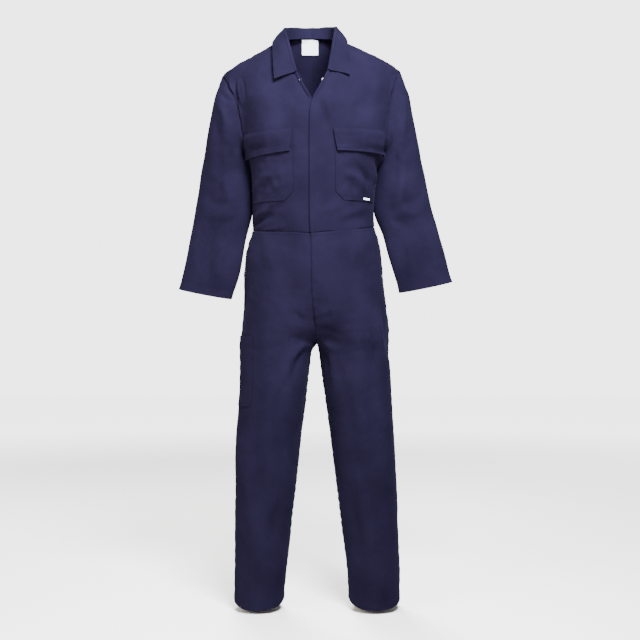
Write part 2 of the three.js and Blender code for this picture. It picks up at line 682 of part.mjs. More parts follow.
function collarSheet() {
  const half = COLLAR.R.length - 1;
  const total = STEPS.collarRows;
  const columns = collarSection(LEFT, 0).length - 1;
  return gridSheet(total, columns, (i, j) => {
    const t = (i / total) * 2 * half;
    return t <= half ? collarSection(RIGHT, t)[j] : collarSection(LEFT, 2 * half - t)[j];
  }, (p) => vector(p.x * 1.02, p.y * 0.9, p.z + 20));
}

// A chest pocket's outer face from its front, at u from 0 at the inner side to 1 at the outer.
const pocketLift = (u) => PATCH_CLOTH + PATCH_LIFT * (1 + POCKET_EASE * u * u);

// A four-cornered patch with one cut corner, laid on a front.
function pocketSheet(side) {
  const plan = CHEST_POCKET[letter(side)];
  const rows = 10;
  const columns = 12;
  return gridSheet(rows, columns, (i, j) => {
    const v = i / rows;
    const u = j / columns;
    const inX = plan.inTop + (plan.inLow - plan.inTop) * v;
    const outX = plan.outTop + (plan.outLow - plan.outTop) * v;
    const cut = plan.cut * smooth(v, 1 - plan.cut / (plan.top - plan.low), 1);
    const x = inX + cut + (outX - inX - cut) * u;
    const top = plan.top + plan.slopeTop * u;
    return liftedPoint('front', side, x, top + (plan.low - top) * v, pocketLift(u));
  }, trunkCore);
}

function flapSheet(side) {
  const plan = FLAP[letter(side)];
  const rows = 4;
  const columns = 12;
  const over = PATCH_LIFT + PATCH_CLOTH;
  return gridSheet(rows, columns, (i, j) => {
    const v = i / rows;
    const u = j / columns;
    const mix = (k) => {
      const top = plan.topIn[k] + (plan.topOut[k] - plan.topIn[k]) * u;
      const low = plan.lowIn[k] + (plan.lowOut[k] - plan.lowIn[k]) * u;
      return top + (low - top) * v;
    };
    const lift = over + smooth(v, 0, 0.18) * (over + 0.8) + FLAP_STANDS_OFF * v * v;
    return liftedPoint('front', side, mix(0), mix(1), lift);
  }, trunkCore);
}

// A strip or patch on the trousers, measured in from the side seam.
function seamPatch(side, plan, rows, columns) {
  return gridSheet(rows, columns, (i, j) => {
    const z = plan.top + ((plan.low - plan.top) * i) / rows;
    const from = plan.fromSeam + (plan.width * j) / columns;
    const { s, t } = besideSeam(side, z, from);
    const point = facetPoint('trousers', side, s, t);
    return point.addScaledVector(plainNormal('trousers', side, s, t), PATCH_LIFT + PATCH_CLOTH);
  }, legCore(side));
}

// The place on a trouser front at height z and a given way round from the side seam.
function besideSeam(side, z, from) {
  let t = 0;
  const step = 0.02;
  while (plainPoint('trousers', side, 1, t).z > z) t += step;
  let s = 1;
  let gone = 0;
  let last = plainPoint('trousers', side, 1, t);
  while (gone < from) {
    s -= step / 4;
    const next = plainPoint('trousers', side, s, t);
    gone += next.distanceTo(last);
    last = next;
  }
  return { s, t };
}

// The label hangs inside the back of the neck, on the back's inner face.
function labelSheet() {
  const rows = 2;
  const columns = 2;
  const inside = -CLOTH - TRIM_LIFT;
  return gridSheet(rows, columns, (i, j) => {
    const x = LABEL.x + LABEL.width * (j / columns - 0.5);
    const z = LABEL.top - (LABEL.height * i) / rows;
    const side = x < 0 ? RIGHT : LEFT;
    return liftedPoint('back', side, Math.abs(x), z, inside);
  }, trunkCore);
}

function tagSheet() {
  const plan = CHEST_POCKET.L;
  return gridSheet(1, 2, (i, j) => {
    const x = TAG.x + TAG.width * (j / 2 - 0.5);
    const u = (x - plan.inLow) / (plan.outLow - plan.inLow);
    const lift = pocketLift(u) + TRIM_LIFT + LABEL_CLOTH;
    return liftedPoint('front', LEFT, x, plan.low + TAG.rise - TAG.height * i, lift);
  }, trunkCore);
}

// One half of the press stud, a disc with a raised rim's edge, facing out of its front.
function studGeometry() {
  const { radius, thick } = STUD;
  const profile = [[0, 0], [radius, 0], [radius, thick * 0.6], [radius * 0.75, thick], [0, thick]];
  return new THREE.LatheGeometry(profile.map(([x, y]) => new THREE.Vector2(x, y)), STUD.sides);
}

const suit = new THREE.Group();
const navy = { color: 0x1c1d3a, roughness: 0.85, metalness: 0 };

function add(name, geometry, look) {
  const mesh = new THREE.Mesh(geometry, new THREE.MeshStandardMaterial(look));
  mesh.name = name;
  suit.add(mesh);
  return mesh;
}

const body = {
  front_right: bodicePanel('front', RIGHT),
  front_left: bodicePanel('front', LEFT),
  back: faced(joined([bodicePanel('back', RIGHT), bodicePanel('back', LEFT)]), trunkCore),
  sleeve_right: sleeveSheet(RIGHT),
  sleeve_left: sleeveSheet(LEFT),
  trouser_front_right: trouserPanel('trousers', RIGHT),
  trouser_front_left: trouserPanel('trousers', LEFT),
  trouser_back_right: trouserPanel('seat', RIGHT),
  trouser_back_left: trouserPanel('seat', LEFT),
};
shareSeams(Object.values(body));
for (const [name, sheet] of Object.entries(body)) {
  drawIn(sheet, SEAM_GAP / 2);
  add(name, wall(sheet, CLOTH), navy);
}

const sewnOn = {
  collar: [collarSheet(), CLOTH],
  pocket_right: [pocketSheet(RIGHT), PATCH_CLOTH],
  pocket_left: [pocketSheet(LEFT), PATCH_CLOTH],
  flap_right: [flapSheet(RIGHT), PATCH_CLOTH],
  flap_left: [flapSheet(LEFT), PATCH_CLOTH],
  rule_pocket: [seamPatch(RIGHT, RULE_POCKET, 9, 7), PATCH_CLOTH],
  hip_pocket_right: [seamPatch(RIGHT, HIP_FACING, 6, 1), PATCH_CLOTH],
  hip_pocket_left: [seamPatch(LEFT, HIP_FACING, 6, 1), PATCH_CLOTH],
  neck_label: [labelSheet(), LABEL_CLOTH],
  pocket_tag: [tagSheet(), LABEL_CLOTH],
};
const white = { color: 0xe8e8ea, roughness: 0.7, metalness: 0 };
for (const [name, [sheet, cloth]] of Object.entries(sewnOn)) {
  shareSeams([sheet]);
  add(name, wall(sheet, cloth), name === 'neck_label' || name === 'pocket_tag' ? white : navy);
}

const steel = { color: 0xb8b8bc, roughness: 0.3, metalness: 1 };
for (const [name, side, x, z, lift] of [
  ['stud_socket', RIGHT, 31, -124, TRIM_LIFT],
  ['stud_cap', LEFT, 33, -121, -CLOTH - TRIM_LIFT - STUD.thick],
]) {
  const { s, t } = placeOn('front', side, x, z);
  const mesh = add(name, studGeometry(), steel);
  mesh.position.copy(liftedPoint('front', side, x, z, lift));
  mesh.quaternion.setFromUnitVectors(vector(0, 1, 0), plainNormal('front', side, s, t));
}

export default suit;
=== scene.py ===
import math

import bpy
import numpy as np
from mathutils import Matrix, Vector


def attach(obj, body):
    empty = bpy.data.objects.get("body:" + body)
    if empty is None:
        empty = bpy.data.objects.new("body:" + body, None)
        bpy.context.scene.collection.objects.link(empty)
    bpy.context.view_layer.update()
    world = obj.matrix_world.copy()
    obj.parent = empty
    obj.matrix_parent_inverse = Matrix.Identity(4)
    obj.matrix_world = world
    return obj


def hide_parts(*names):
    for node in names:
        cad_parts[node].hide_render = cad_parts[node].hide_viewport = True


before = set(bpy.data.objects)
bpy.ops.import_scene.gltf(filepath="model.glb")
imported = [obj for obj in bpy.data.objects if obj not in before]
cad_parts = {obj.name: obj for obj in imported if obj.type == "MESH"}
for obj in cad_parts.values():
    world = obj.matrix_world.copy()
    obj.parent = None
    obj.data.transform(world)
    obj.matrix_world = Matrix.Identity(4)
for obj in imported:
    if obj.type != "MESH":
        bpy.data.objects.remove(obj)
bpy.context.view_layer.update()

# Boiler suit, filled out and empty. Tables and sizes are in millimetres, in the model's frame:
# the front faces -Y, the wearer's left is at +X, +Z is up. Lights and camera are in metres.
MM = 0.001
RIGHT, LEFT = -1, 1
WORD = {RIGHT: "right", LEFT: "left"}
CLOTH = 1.3  # thickness of the shell that shows
LAP_DROP = 3.5  # the right front below the left one
LAP_EASE = (8, 42)  # where the drop fades out, measured from the left one's edge
LAP_VALLEY = 2.6  # the crease just beside the closing's edge
# rows of the tables below, counted from the waist
UNDERARM_ROW, V_BOTTOM_ROW, V_ROLL_END, NECK_ROW = 4, 8, 10.9, 11
FLY_END_ROW, CROTCH_ROW = 5, 9
CREASE_DEPTH = 1.7  # how many times deeper every crease is made than its height below
WAIST_FILL = 0.6  # the pressed waist seam is shallower than the others
BAND_ROWS = (2.6, 8.4)  # the two stitch rows of a felled seam, from its edge
HEM_BAND, HEM_ROW = 21, 19.5
POCKET_ROWS = (2.4, 8.4)
FLAP_ROW, FLAP_TOP_ROW = 5.5, 7.5


def table(text):
    """The columns of a text by their names, which are its first line."""
    names, *numbers = [line.split() for line in text.strip().splitlines()]
    return dict(zip(names, np.array(numbers, float).T))


def creases(text):
    """Six numbers for each crease of a text, which parts them with semicolons."""
    return [[float(v) for v in crease.split()] for crease in text.split(";")]


FRONT = table("""
    zIn inR inL deepIn leave reach zOutR zOutL outR outL deepOut arrive pull fall
    -545 -16 -2 121 0 100 -531 -518 168 178 0 90 72 1
    -482 -14 -5 128 0 104 -476 -474 169 176 0 90 76 1
    -424 -14 -5 137 0 108 -420 -418 171 183 0 90 82 1
    -368 -14 -5 144 0 112 -365 -365 174 188 0 90 86 1
    -318 -14 -5 148 0 118 -313 -313 185 207 0 90 88 1
    -280 -14 -5 149 0 116 -298 -298 190 210 44 75 70 1
    -245 -14 -5 147 0 112 -270 -270 193 212 66 55 62 1
    -212 -12 -4 144 0 108 -226 -226 200 213 72 45 60 1
    -178 -3 3 139 0 105 -178 -178 210 219 68 40 60 1
    -140 19 23 131 0 98 -132 -130 230 231 48 42 58 1
    -97 40 45 118 0 85 -99 -92 247 246 20 50 56 1
    -44 62 64 82 0 65 -87 -76 253 252 6 60 45 1.15
    18 78 80 0 0 58 -84 -70 254 253 0 0 50 1.15
""")

BACK = table("""
    zIn inR inL deepIn leave reach zOutR zOutL outR outL deepOut arrive pull fall
    -545 0 0 116 0 100 -531 -518 168 178 0 90 72 1
    -482 0 0 115 0 104 -476 -474 169 176 0 90 76 1
    -420 0 0 120 0 108 -420 -418 171 183 0 90 82 1
    -365 0 0 127 0 112 -365 -365 174 188 0 90 86 1
    -312 0 0 133 0 118 -313 -313 185 207 0 90 88 1
    -262 0 0 137 0 118 -298 -298 190 210 46 75 66 1
    -212 0 0 138 0 118 -262 -262 199 214 72 50 56 1
    -160 0 0 134 0 116 -216 -216 207 216 80 35 52 1
    -108 0 0 126 0 114 -167 -167 219 224 75 35 52 1
    -54 0 0 114 0 112 -124 -120 236 237 55 40 54 1
    -4 0 0 98 0 108 -97 -90 249 248 27 45 54 1.1
    42 0 0 82 0 100 -88 -78 253 252 10 45 52 1.2
    36 48 49 60 0 70 -85 -73 254 253 4 40 45 1.2
    18 78 80 0 0 58 -84 -70 254 253 0 0 50 1.15
""")

TROUSERS = table("""
    zIn zOutR zOutL inR inL outR outL frontIn backIn turn reachF pullF reachB pullB lap sagF sagB
    -545 -531 -518 2 -2 168 178 121 116 0 100 72 100 72 18 0 0
    -586 -580 -575 0 0 184 195 127 127 0 108 78 108 78 18 0 0
    -635 -635 -632 -2 2 190 200 131 140 0 112 82 112 84 18 0 0
    -690 -690 -690 -3.5 3.5 192 204 130 143 0 112 86 112 92 18 0 0
    -742 -740 -740 -6 6 193 212 125 142 5 112 90 112 96 14 0 0
    -783 -783 -783 -11 11 197 219 112 130 15 112 91 112 96 0 0 0
    -813 -815 -815 -13 13 200 222 90 104 30 112 98 116 105 0 0 0
    -835 -842 -842 -14.5 14.5 203 221 58 70 50 126 106 132 111 0 0 0
    -848 -864 -864 -15.5 15.5 205 220 22 30 75 138 120 146 127 0 0 0
    -853 -884 -884 -15 17 205 220 0 0 90 150 132 160 148 0 0 0
    -872 -908 -908 -2 21 205 222 0 0 90 147 133 158 147 0 0 0
    -941 -958 -958 7 30 205 225 0 0 90 141 135 153 148 0 0 0
    -1079 -1079 -1079 24 50 211 234 0 0 90 132 132 145 146 0 0 0
    -1217 -1217 -1217 39 67 217 242 0 0 90 125 125 136 136 0 0 0
    -1355 -1355 -1355 56 85 219 248 0 0 90 115 115 125 125 0 0 0
    -1493 -1493 -1493 70 102 220 251 0 0 90 105 105 110 110 0 3 0
    -1581 -1581 -1581 79 108 221 253 0 0 90 101 101 106 106 0 21 5
""")

SLEEVE = {
    RIGHT: table("""
        outX outZ inX inZ half ahead
        275 -140 186 -320 74 -4
        304 -284 180 -332 67 -10
        316 -344 172 -382 61 -22
        329 -430 168 -462 49 -20
        344 -528 188 -557 37 -2
        360 -620 202 -646 27 14
        376 -699 228 -727 18 26
    """),
    LEFT: table("""
        outX outZ inX inZ half ahead
        276 -132 214 -321 75 -4
        308 -288 201 -333 67 -10
        323 -350 185 -385 61 -22
        341 -442 178 -465 49 -20
        363 -525 204 -545 37 -2
        382 -606 228 -631 27 14
        400 -678 250 -709 18 26
    """),
}

COLLAR = {
    RIGHT: table("""
        neck rollX rollY rollZ edgeX edgeY edgeZ
        10 39 -125 -99 102 -126 -121
        10.6 50 -114 -59 105 -114 -87
        11.1 61 -90 -12 108 -86 -46
        11.6 69 -48 22 110 -45 -12
        12 74 -3 50 112 0 8
        12.6 64 40 62 97 56 24
        13.2 39 70 71 58 93 27
        14 0 86 74 0 108 26
    """),
    LEFT: table("""
        neck rollX rollY rollZ edgeX edgeY edgeZ
        10 46 -125 -94 108 -126 -109
        10.6 53 -114 -52 106 -114 -77
        11.1 60 -90 -8 103 -86 -38
        11.6 64 -48 24 102 -45 -8
        12 67 -3 54 102 0 14
        12.6 62 40 64 93 56 27
        13.2 39 70 72 58 93 28
        14 0 86 74 0 108 26
    """),
}

CHEST_POCKET = {
    RIGHT: dict(inTop=50, outTop=172, inLow=49, outLow=162, top=-280, low=-455, slopeTop=-4, cut=24),
    LEFT: dict(inTop=65, outTop=186, inLow=68, outLow=168, top=-277, low=-453, slopeTop=2, cut=24),
}
FLAP = {
    RIGHT: dict(topIn=(53, -260), topOut=(186, -266), lowOut=(177, -332), lowIn=(58, -321)),
    LEFT: dict(topIn=(60, -259), topOut=(200, -256), lowOut=(198, -318), lowIn=(70, -320)),
}

# Creases of each piece: both ends (x towards the side, z), half width, height (minus is a trough).
CREASES = {
    ("front", RIGHT): creases("""
        240 -112 212 -205 7 -5; 250 -128 224 -168 6 4; 232 -100 205 -215 8 4; 222 -140 200 -250 7 -3.5;
        205 -165 190 -262 7 2.5; 236 -108 214 -196 5 -4; 214 -112 202 -196 3.5 -2.6;
        206 -108 192 -188 3.5 2.2; 197 -104 184 -176 3.5 -2; 150 -455 100 -388 9 -4;
        163 -432 112 -372 10 3.5; 120 -470 70 -430 10 2.5; 165 -520 105 -488 9 -5;
        170 -500 120 -470 9 4; 160 -538 60 -520 8 3; 60 -170 20 -260 22 2.5; 120 -60 60 -170 26 -2.5;
        190 -120 110 -215 30 3; 40 -330 30 -470 14 -1.8
    """),
    ("front", LEFT): creases("""
        246 -104 218 -200 8 -3.5; 232 -110 205 -225 9 3; 214 -180 206 -290 9 -2.5;
        122 -356 170 -420 9 -4; 108 -372 150 -430 9 3.5; 86 -388 128 -436 9 -3.5; 160 -340 184 -392 8 3;
        92 -500 176 -470 12 2; 70 -520 172 -500 12 -1.8; 30 -490 100 -470 12 2; 34 -150 60 -280 14 2.6;
        18 -180 44 -300 12 -2.2; 60 -100 150 -170 28 3; 180 -150 110 -220 26 -2.2;
        20 -330 26 -500 12 1.6
    """),
    ("back", RIGHT): creases("""
        60 -440 160 -480 12 -5; 50 -468 160 -510 12 4.5; 30 -500 150 -530 10 -4;
        205 -190 150 -330 13 -5; 188 -180 128 -310 14 4; 110 -60 60 -190 26 -3; 30 -200 24 -400 30 3;
        175 -300 165 -440 14 -3
    """),
    ("back", LEFT): creases("""
        40 -450 165 -476 12 -4.5; 60 -480 168 -504 12 4; 20 -515 140 -532 10 -3.5;
        208 -185 160 -340 13 -5; 190 -170 136 -300 14 4; 120 -50 56 -180 28 -3; 60 -230 40 -420 26 -3;
        190 -300 172 -430 14 -3
    """),
    ("trousers", RIGHT): creases("""
        14 -790 66 -762 9 -1.8; 12 -812 74 -800 10 1.8; 16 -836 70 -846 10 -2; 14 -850 60 -905 9 4;
        20 -862 52 -960 9 -4; 8 -700 24 -790 7 2.5; 60 -590 130 -640 26 3; 150 -560 120 -680 22 -2.6;
        118 -790 112 -1010 20 3.6; 82 -970 74 -1200 18 -4; 140 -1010 150 -1260 22 -3;
        108 -1180 126 -1420 24 3.5; 88 -1290 100 -1500 16 -3; 175 -1300 168 -1520 16 2.6;
        186 -700 190 -830 11 -2.5
    """),
    ("trousers", LEFT): creases("""
        38 -716 36 -768 4 -2.4; 50 -752 48 -800 4 -2; 14 -772 58 -755 9 1.6; 16 -812 78 -826 10 -2;
        18 -838 66 -876 8 4; 24 -858 50 -934 9 -4.5; 36 -870 66 -985 10 3.5; 60 -580 140 -620 26 3;
        165 -560 175 -680 20 -2.6; 198 -740 210 -870 9 -4; 182 -760 196 -900 9 3.5;
        166 -800 182 -900 9 -2.5; 120 -820 128 -1040 20 3.4; 92 -960 104 -1190 18 -3.6;
        164 -1040 172 -1270 22 -3; 120 -1190 144 -1430 22 3.2; 112 -1300 130 -1520 16 -3;
        206 -1280 212 -1500 16 2.6
    """),
    ("seat", RIGHT): creases("""
        18 -850 90 -790 10 -5; 20 -868 110 -826 10 4.5; 24 -880 110 -872 10 -5; 36 -895 120 -920 11 4;
        60 -590 150 -640 24 3.4; 40 -640 130 -720 28 -3; 100 -960 84 -1190 20 -4;
        150 -990 158 -1230 22 3.4; 70 -1170 150 -1210 18 -3.6; 80 -1210 160 -1236 16 3.4;
        120 -1250 130 -1500 22 -3.4
    """),
    ("seat", LEFT): creases("""
        20 -842 96 -796 10 -4.5; 24 -862 104 -842 10 4; 28 -884 116 -884 10 -4.5; 40 -900 124 -934 11 4;
        50 -600 160 -630 24 3.4; 36 -660 140 -728 28 -3; 110 -950 104 -1180 20 -4;
        172 -980 176 -1210 22 3.4; 90 -1180 170 -1204 18 -3.4; 96 -1216 176 -1228 16 3.2;
        150 -1270 168 -1500 22 -3.4
    """),
    ("sleeve", RIGHT): creases("""
        262 -175 236 -262 10 4; 280 -190 250 -300 12 -4; 264 -132 228 -168 5.5 -5;
        254 -120 226 -162 7 3; 296 -250 262 -400 18 3; 226 -300 200 -390 12 -3.5;
        246 -380 214 -470 13 3.5; 300 -420 250 -470 14 -3; 236 -470 290 -500 12 3.5;
        210 -500 262 -530 12 -3.5; 320 -470 330 -640 14 3; 276 -530 296 -690 15 -3.6;
        240 -560 262 -690 12 3
    """),
    ("sleeve", LEFT): creases("""
        268 -170 248 -270 11 3.5; 288 -200 262 -330 14 -3.2; 306 -280 290 -420 18 3;
        240 -310 222 -400 12 -3.5; 262 -380 236 -470 13 3.5; 322 -420 270 -462 14 -3;
        250 -470 306 -494 12 3.5; 226 -500 280 -526 12 -3.5; 342 -470 366 -620 14 3;
        300 -530 330 -670 15 -3.6; 262 -560 290 -670 12 3
    """),
}

# How much fine unevenness each piece has: seed, long and short wave heights.
UNEVEN = {
    "front": (11, 1.5, 0.30),
    "back": (23, 2.0, 0.40),
    "trousers": (37, 1.9, 0.35),
    "seat": (41, 2.2, 0.45),
    "sleeve": (53, 1.6, 0.40),
}


def between(tab, t):
    """Every column at the heights t, on a smooth curve through the rows that never overshoots."""
    return {key: smooth_through(column, np.asarray(t, float)) for key, column in tab.items()}


def smooth_through(knots, t):
    last = len(knots) - 1
    i = np.clip(np.floor(t).astype(int), 0, last - 1)
    f = t - i
    a, b, c, d = (knots[np.clip(i + k, 0, last)] for k in (-1, 0, 1, 2))
    while f.ndim < b.ndim:
        f = f[..., None]

    def even(before, after):
        both = before * after
        return np.where(both > 0, 2 * both / np.where(both > 0, before + after, 1), 0)

    slope_b, slope_c = even(b - a, c - b), even(c - b, d - c)
    return (b + f * slope_b + f * f * (3 * (c - b) - 2 * slope_b - slope_c)
            + f ** 3 * (2 * (b - c) + slope_b + slope_c))


def smooth(x, low, high):
    f = np.clip((np.asarray(x, float) - low) / (high - low), 0, 1)
    return f * f * (3 - 2 * f)


def bump(x, centre, half):
    """A soft ridge: 1 at centre, about a third at half away and gone at twice that."""
    return np.exp(-(((x - centre) / half) ** 2))


def step(x, low, high, soft=1.2):
    """1 between low and high, with soft shoulders."""
    return smooth(x, low - soft, low + soft) * (1 - smooth(x, high - soft, high + soft))


def bezier(a, b, c, d, s):
    r = 1 - s
    return r ** 3 * a + 3 * r * r * s * b + 3 * r * s * s * c + s ** 3 * d


TABLES = {"front": FRONT, "back": BACK, "trousers": TROUSERS, "seat": TROUSERS}
FACE = {"front": -1, "back": 1, "trousers": -1, "seat": 1}


def last_row(kind):
    return len(next(iter(TABLES[kind].values()))) - 1


def panel_row(kind, side, t):
    row = between(TABLES[kind], t)
    k = "L" if side == LEFT else "R"
    out = {"zIn": row["zIn"], "zOut": row["zOut" + k], "out": row["out" + k], "in": row["in" + k]}
    if kind in ("front", "back"):
        for key in ("deepIn", "leave", "reach", "deepOut", "arrive", "pull", "fall"):
            out[key] = row[key]
        out["sag"] = 0 * row["zIn"]
        return out
    front = kind == "trousers"
    if front and side == RIGHT:
        out["in"] = out["in"] - row["lap"]
    out.update(
        deepIn=row["frontIn" if front else "backIn"], leave=row["turn"],
        reach=row["reachF" if front else "reachB"], deepOut=0 * row["zIn"],
        arrive=0 * row["zIn"] + 90, pull=row["pullF" if front else "pullB"],
        fall=0 * row["zIn"] + 1, sag=row["sagF" if front else "sagB"])
    return out


def plain(kind, side, s, t):
    """Points of a panel without its folds; s runs from the inner edge to the outer one."""
    s, t = np.broadcast_arrays(np.asarray(s, float), np.asarray(t, float))
    row = panel_row(kind, side, t)
    leave, arrive = np.radians(row["leave"]), np.radians(row["arrive"])
    x = bezier(row["in"], row["in"] + row["reach"] * np.cos(leave),
               row["out"] - row["pull"] * np.cos(arrive), row["out"], s)
    deep = bezier(row["deepIn"], row["deepIn"] + row["reach"] * np.sin(leave),
                  row["deepOut"] + row["pull"] * np.sin(arrive), row["deepOut"], s)
    z = row["zIn"] + (row["zOut"] - row["zIn"]) * s ** row["fall"] - row["sag"] * 4 * s * (1 - s)
    return np.stack([side * x, FACE[kind] * deep, z], -1)


def unit(v):
    return v / np.maximum(np.linalg.norm(v, axis=-1, keepdims=True), 1e-9)


def plain_normal(kind, side, s, t):
    d = 0.02
    s, t = np.broadcast_arrays(np.asarray(s, float), np.asarray(t, float))
    last = last_row(kind)
    across = plain(kind, side, np.minimum(s + d, 1), t) - plain(kind, side, np.maximum(s - d, 0), t)
    along = (plain(kind, side, s, np.minimum(t + d, last))
             - plain(kind, side, s, np.maximum(t - d, 0)))
    up = 1 if kind in ("front", "back") else -1
    return unit(np.cross(across, along)) * (-side * FACE[kind] * up)


def lap_drop(kind, side, t, x):
    if side != RIGHT or kind not in ("front", "trousers"):
        return 0 * x
    edge = between(TABLES[kind], t)["inL"]
    first = V_BOTTOM_ROW if kind == "front" else FLY_END_ROW
    drop = LAP_DROP * (1 - smooth(x + edge, *LAP_EASE)) + LAP_VALLEY * bump(x + edge, 2.5, 4)
    return drop * (1 - smooth(t, first, first + 1))


def uneven(x, z, seed, size, count=14):
    """A smooth random field of about unit height, a sum of waves of about this size."""
    rng = np.random.default_rng(seed)
    total = 0 * x
    for _ in range(count):
        turn, phase = rng.uniform(0, 2 * math.pi, 2)
        k = 2 * math.pi / (size * rng.uniform(0.7, 1.6))
        total = total + np.sin(k * (x * math.cos(turn) + z * math.sin(turn)) + phase)
    return total / math.sqrt(count)


def crease_height(kind, side, x, z):
    height = 0 * x
    for x0, z0, x1, z1, width, deep in CREASES[kind, side]:
        length = math.hypot(x1 - x0, z1 - z0)
        c, d = (x1 - x0) / length, (z1 - z0) / length
        along = (x - x0) * c + (z - z0) * d
        f = along / length
        bow = 0.06 * length * (1 - (2 * f - 1) ** 2) * (1 if int(x0 + z0) % 2 else -1)
        across = -(x - x0) * d + (z - z0) * c + bow
        taper = smooth(f, -0.12, 0.3) * (1 - smooth(f, 0.62, 1.12))
        wide = width * (0.75 + 0.6 * np.clip(f, 0, 1))
        shape = bump(across, 0, wide) - 0.3 * bump(across, 2 * wide, wide)
        height = height + deep * taper * shape
    return CREASE_DEPTH * height


def relief(kind, side, s, t, x, z):
    """Folds and unevenness of a panel, quiet near its seams."""
    last = last_row(kind)
    edge = smooth(s, -0.02, 0.06) * smooth(1 - s, -0.02, 0.045) * smooth(t, -0.05, 0.35)
    edge = edge * (0.25 + 0.75 * smooth(last - t, -0.05, 0.35))
    seed, long_wave, short_wave = UNEVEN[kind]
    seed += side
    cloth = (crease_height(kind, side, x, z) + long_wave * uneven(x, 0.45 * z, seed, 110)
             + short_wave * uneven(x, z, seed + 5, 26) + 0.12 * uneven(x, z, seed + 9, 9))
    return edge * cloth


def surface(kind, side, s, t):
    base = plain(kind, side, s, t)
    x = side * base[..., 0]
    lift = relief(kind, side, s, t, x, base[..., 2]) - lap_drop(kind, side, t, x)
    return base + plain_normal(kind, side, s, t) * lift[..., None]


def place_on(kind, side, x, z):
    """Where on a panel the points seen at x (towards the side) and z are."""
    last = last_row(kind)
    gs, gt = np.meshgrid(np.linspace(0, 1, 41), np.linspace(0, last, 81), indexing="ij")
    g = plain(kind, side, gs, gt)
    gx, gz = side * g[..., 0].ravel(), g[..., 2].ravel()
    pick = np.argmin((gx[None] - x.reshape(-1, 1)) ** 2 + (gz[None] - z.reshape(-1, 1)) ** 2, axis=1)
    s, t = gs.ravel()[pick].reshape(x.shape), gt.ravel()[pick].reshape(x.shape)
    h = 1e-3
    for _ in range(12):
        p = plain(kind, side, s, t)
        ex, ez = x - side * p[..., 0], z - p[..., 2]
        ps = (plain(kind, side, s + h, t) - p) / h
        pt = (plain(kind, side, s, t + h) - p) / h
        det = side * (ps[..., 0] * pt[..., 2] - pt[..., 0] * ps[..., 2])
        det = np.where(np.abs(det) < 1e-6, 1e-6, det)
        ds = (ex * pt[..., 2] - ez * side * pt[..., 0]) / det
        dt = (ez * side * ps[..., 0] - ex * ps[..., 2]) / det
        s = np.clip(s + np.clip(ds, -0.05, 0.05), 0, 1 - h)
        t = np.clip(t + np.clip(dt, -0.2, 0.2), 0, last - h)
    return s, t


# Sheets of cloth.


def run_length(points):
    """How far along a line each of its points is."""
    return np.concatenate([[0], np.cumsum(np.linalg.norm(np.diff(points, axis=0), axis=1))])


def along_line(places, reach, values):
    """The values between a line's points at these distances along it."""
    return np.stack([np.interp(places, reach, values[:, k]) for k in range(3)], 1)


def gradient(p, axis, ring):
    if ring and axis == 1:
        return (np.roll(p, -1, 1) - np.roll(p, 1, 1)) / 2
    return np.gradient(p, axis=axis)


class Sheet:
    """A grid of points, rows by columns; a ring's last column joins its first."""

    def __init__(self, points, core, ring=False):
        self.ring = ring
        self.split = 0
        self.p = points
        self.core = core
        self.measure()

    def measure(self):
        p = self.p
        n = unit(np.cross(gradient(p, 1, self.ring), gradient(p, 0, self.ring)))
        self.turned = (n * (p - self.core(p))).sum() < 0
        self.n = -n if self.turned else n
        run = np.linalg.norm(np.diff(p, axis=1), axis=2)
        self.across = np.concatenate([np.zeros((len(p), 1)), np.cumsum(run, 1)], 1)
        run = np.linalg.norm(np.diff(p, axis=0), axis=2)
        self.along = np.concatenate([np.zeros((1, p.shape[1])), np.cumsum(run, 0)], 0)

    def edge_distance(self, edge):
        if edge == "in":
            return self.across
        if edge == "out":
            return self.across[:, -1:] - self.across
        if edge == "start":
            return self.along
        return self.along[-1:] - self.along

    def raise_by(self, height):
        self.p = self.p + self.n * height[..., None]

    def line(self, edge, distance, first=0.0, last=1.0):
        """Points and normals of a line at one distance from an edge, between two shares of it."""
        d = self.edge_distance(edge)
        p, n = self.p, self.n
        if edge in ("start", "end"):
            d, p, n = d.T, p.transpose(1, 0, 2), n.transpose(1, 0, 2)
        if edge in ("out", "end"):
            d, p, n = d[:, ::-1], p[:, ::-1], n[:, ::-1]
        points, normals = [], []
        for i in range(int(first * (len(p) - 1)), int(last * (len(p) - 1)) + 1):
            if d[i, -1] < distance:
                continue
            points.append([np.interp(distance, d[i], p[i, :, k]) for k in range(3)])
            normals.append([np.interp(distance, d[i], n[i, :, k]) for k in range(3)])
        if self.ring and edge in ("start", "end"):
            points.append(points[0])
            normals.append(normals[0])
        return np.array(points), np.array(normals)


def spread(total, step_mm, lead, tail):
    """Distances along a length: close at the ends, even between."""
    first, last = lead[-1], total - tail[-1]
    count = max(2, int(round((last - first) / step_mm)))
    middle = np.linspace(first, last, count + 1)
    return np.concatenate([lead[:-1], middle, [total - d for d in tail[-2::-1]]])


STEP, FINE_STEP = 5.6, 5.0
SHORT_ROW = 60  # rows shorter than this have their seam lines closer together
SEAM = [0, 1.2, 2.6, 5.6, 8.4, 10.2]
HEM = [0, 1.0, 2.5, 5, 10, 15, 19.5, 21.5, 24]


def path_places(curve, low, high, step_mm, lead, tail):
    """Heights t at even distances along a curve of points, from low to high."""
    ts = np.linspace(low, high, 600)
    reach = np.mean([run_length(c) for c in curve(ts)], axis=0)
    return np.interp(spread(reach[-1], step_mm, lead, tail), reach, ts)


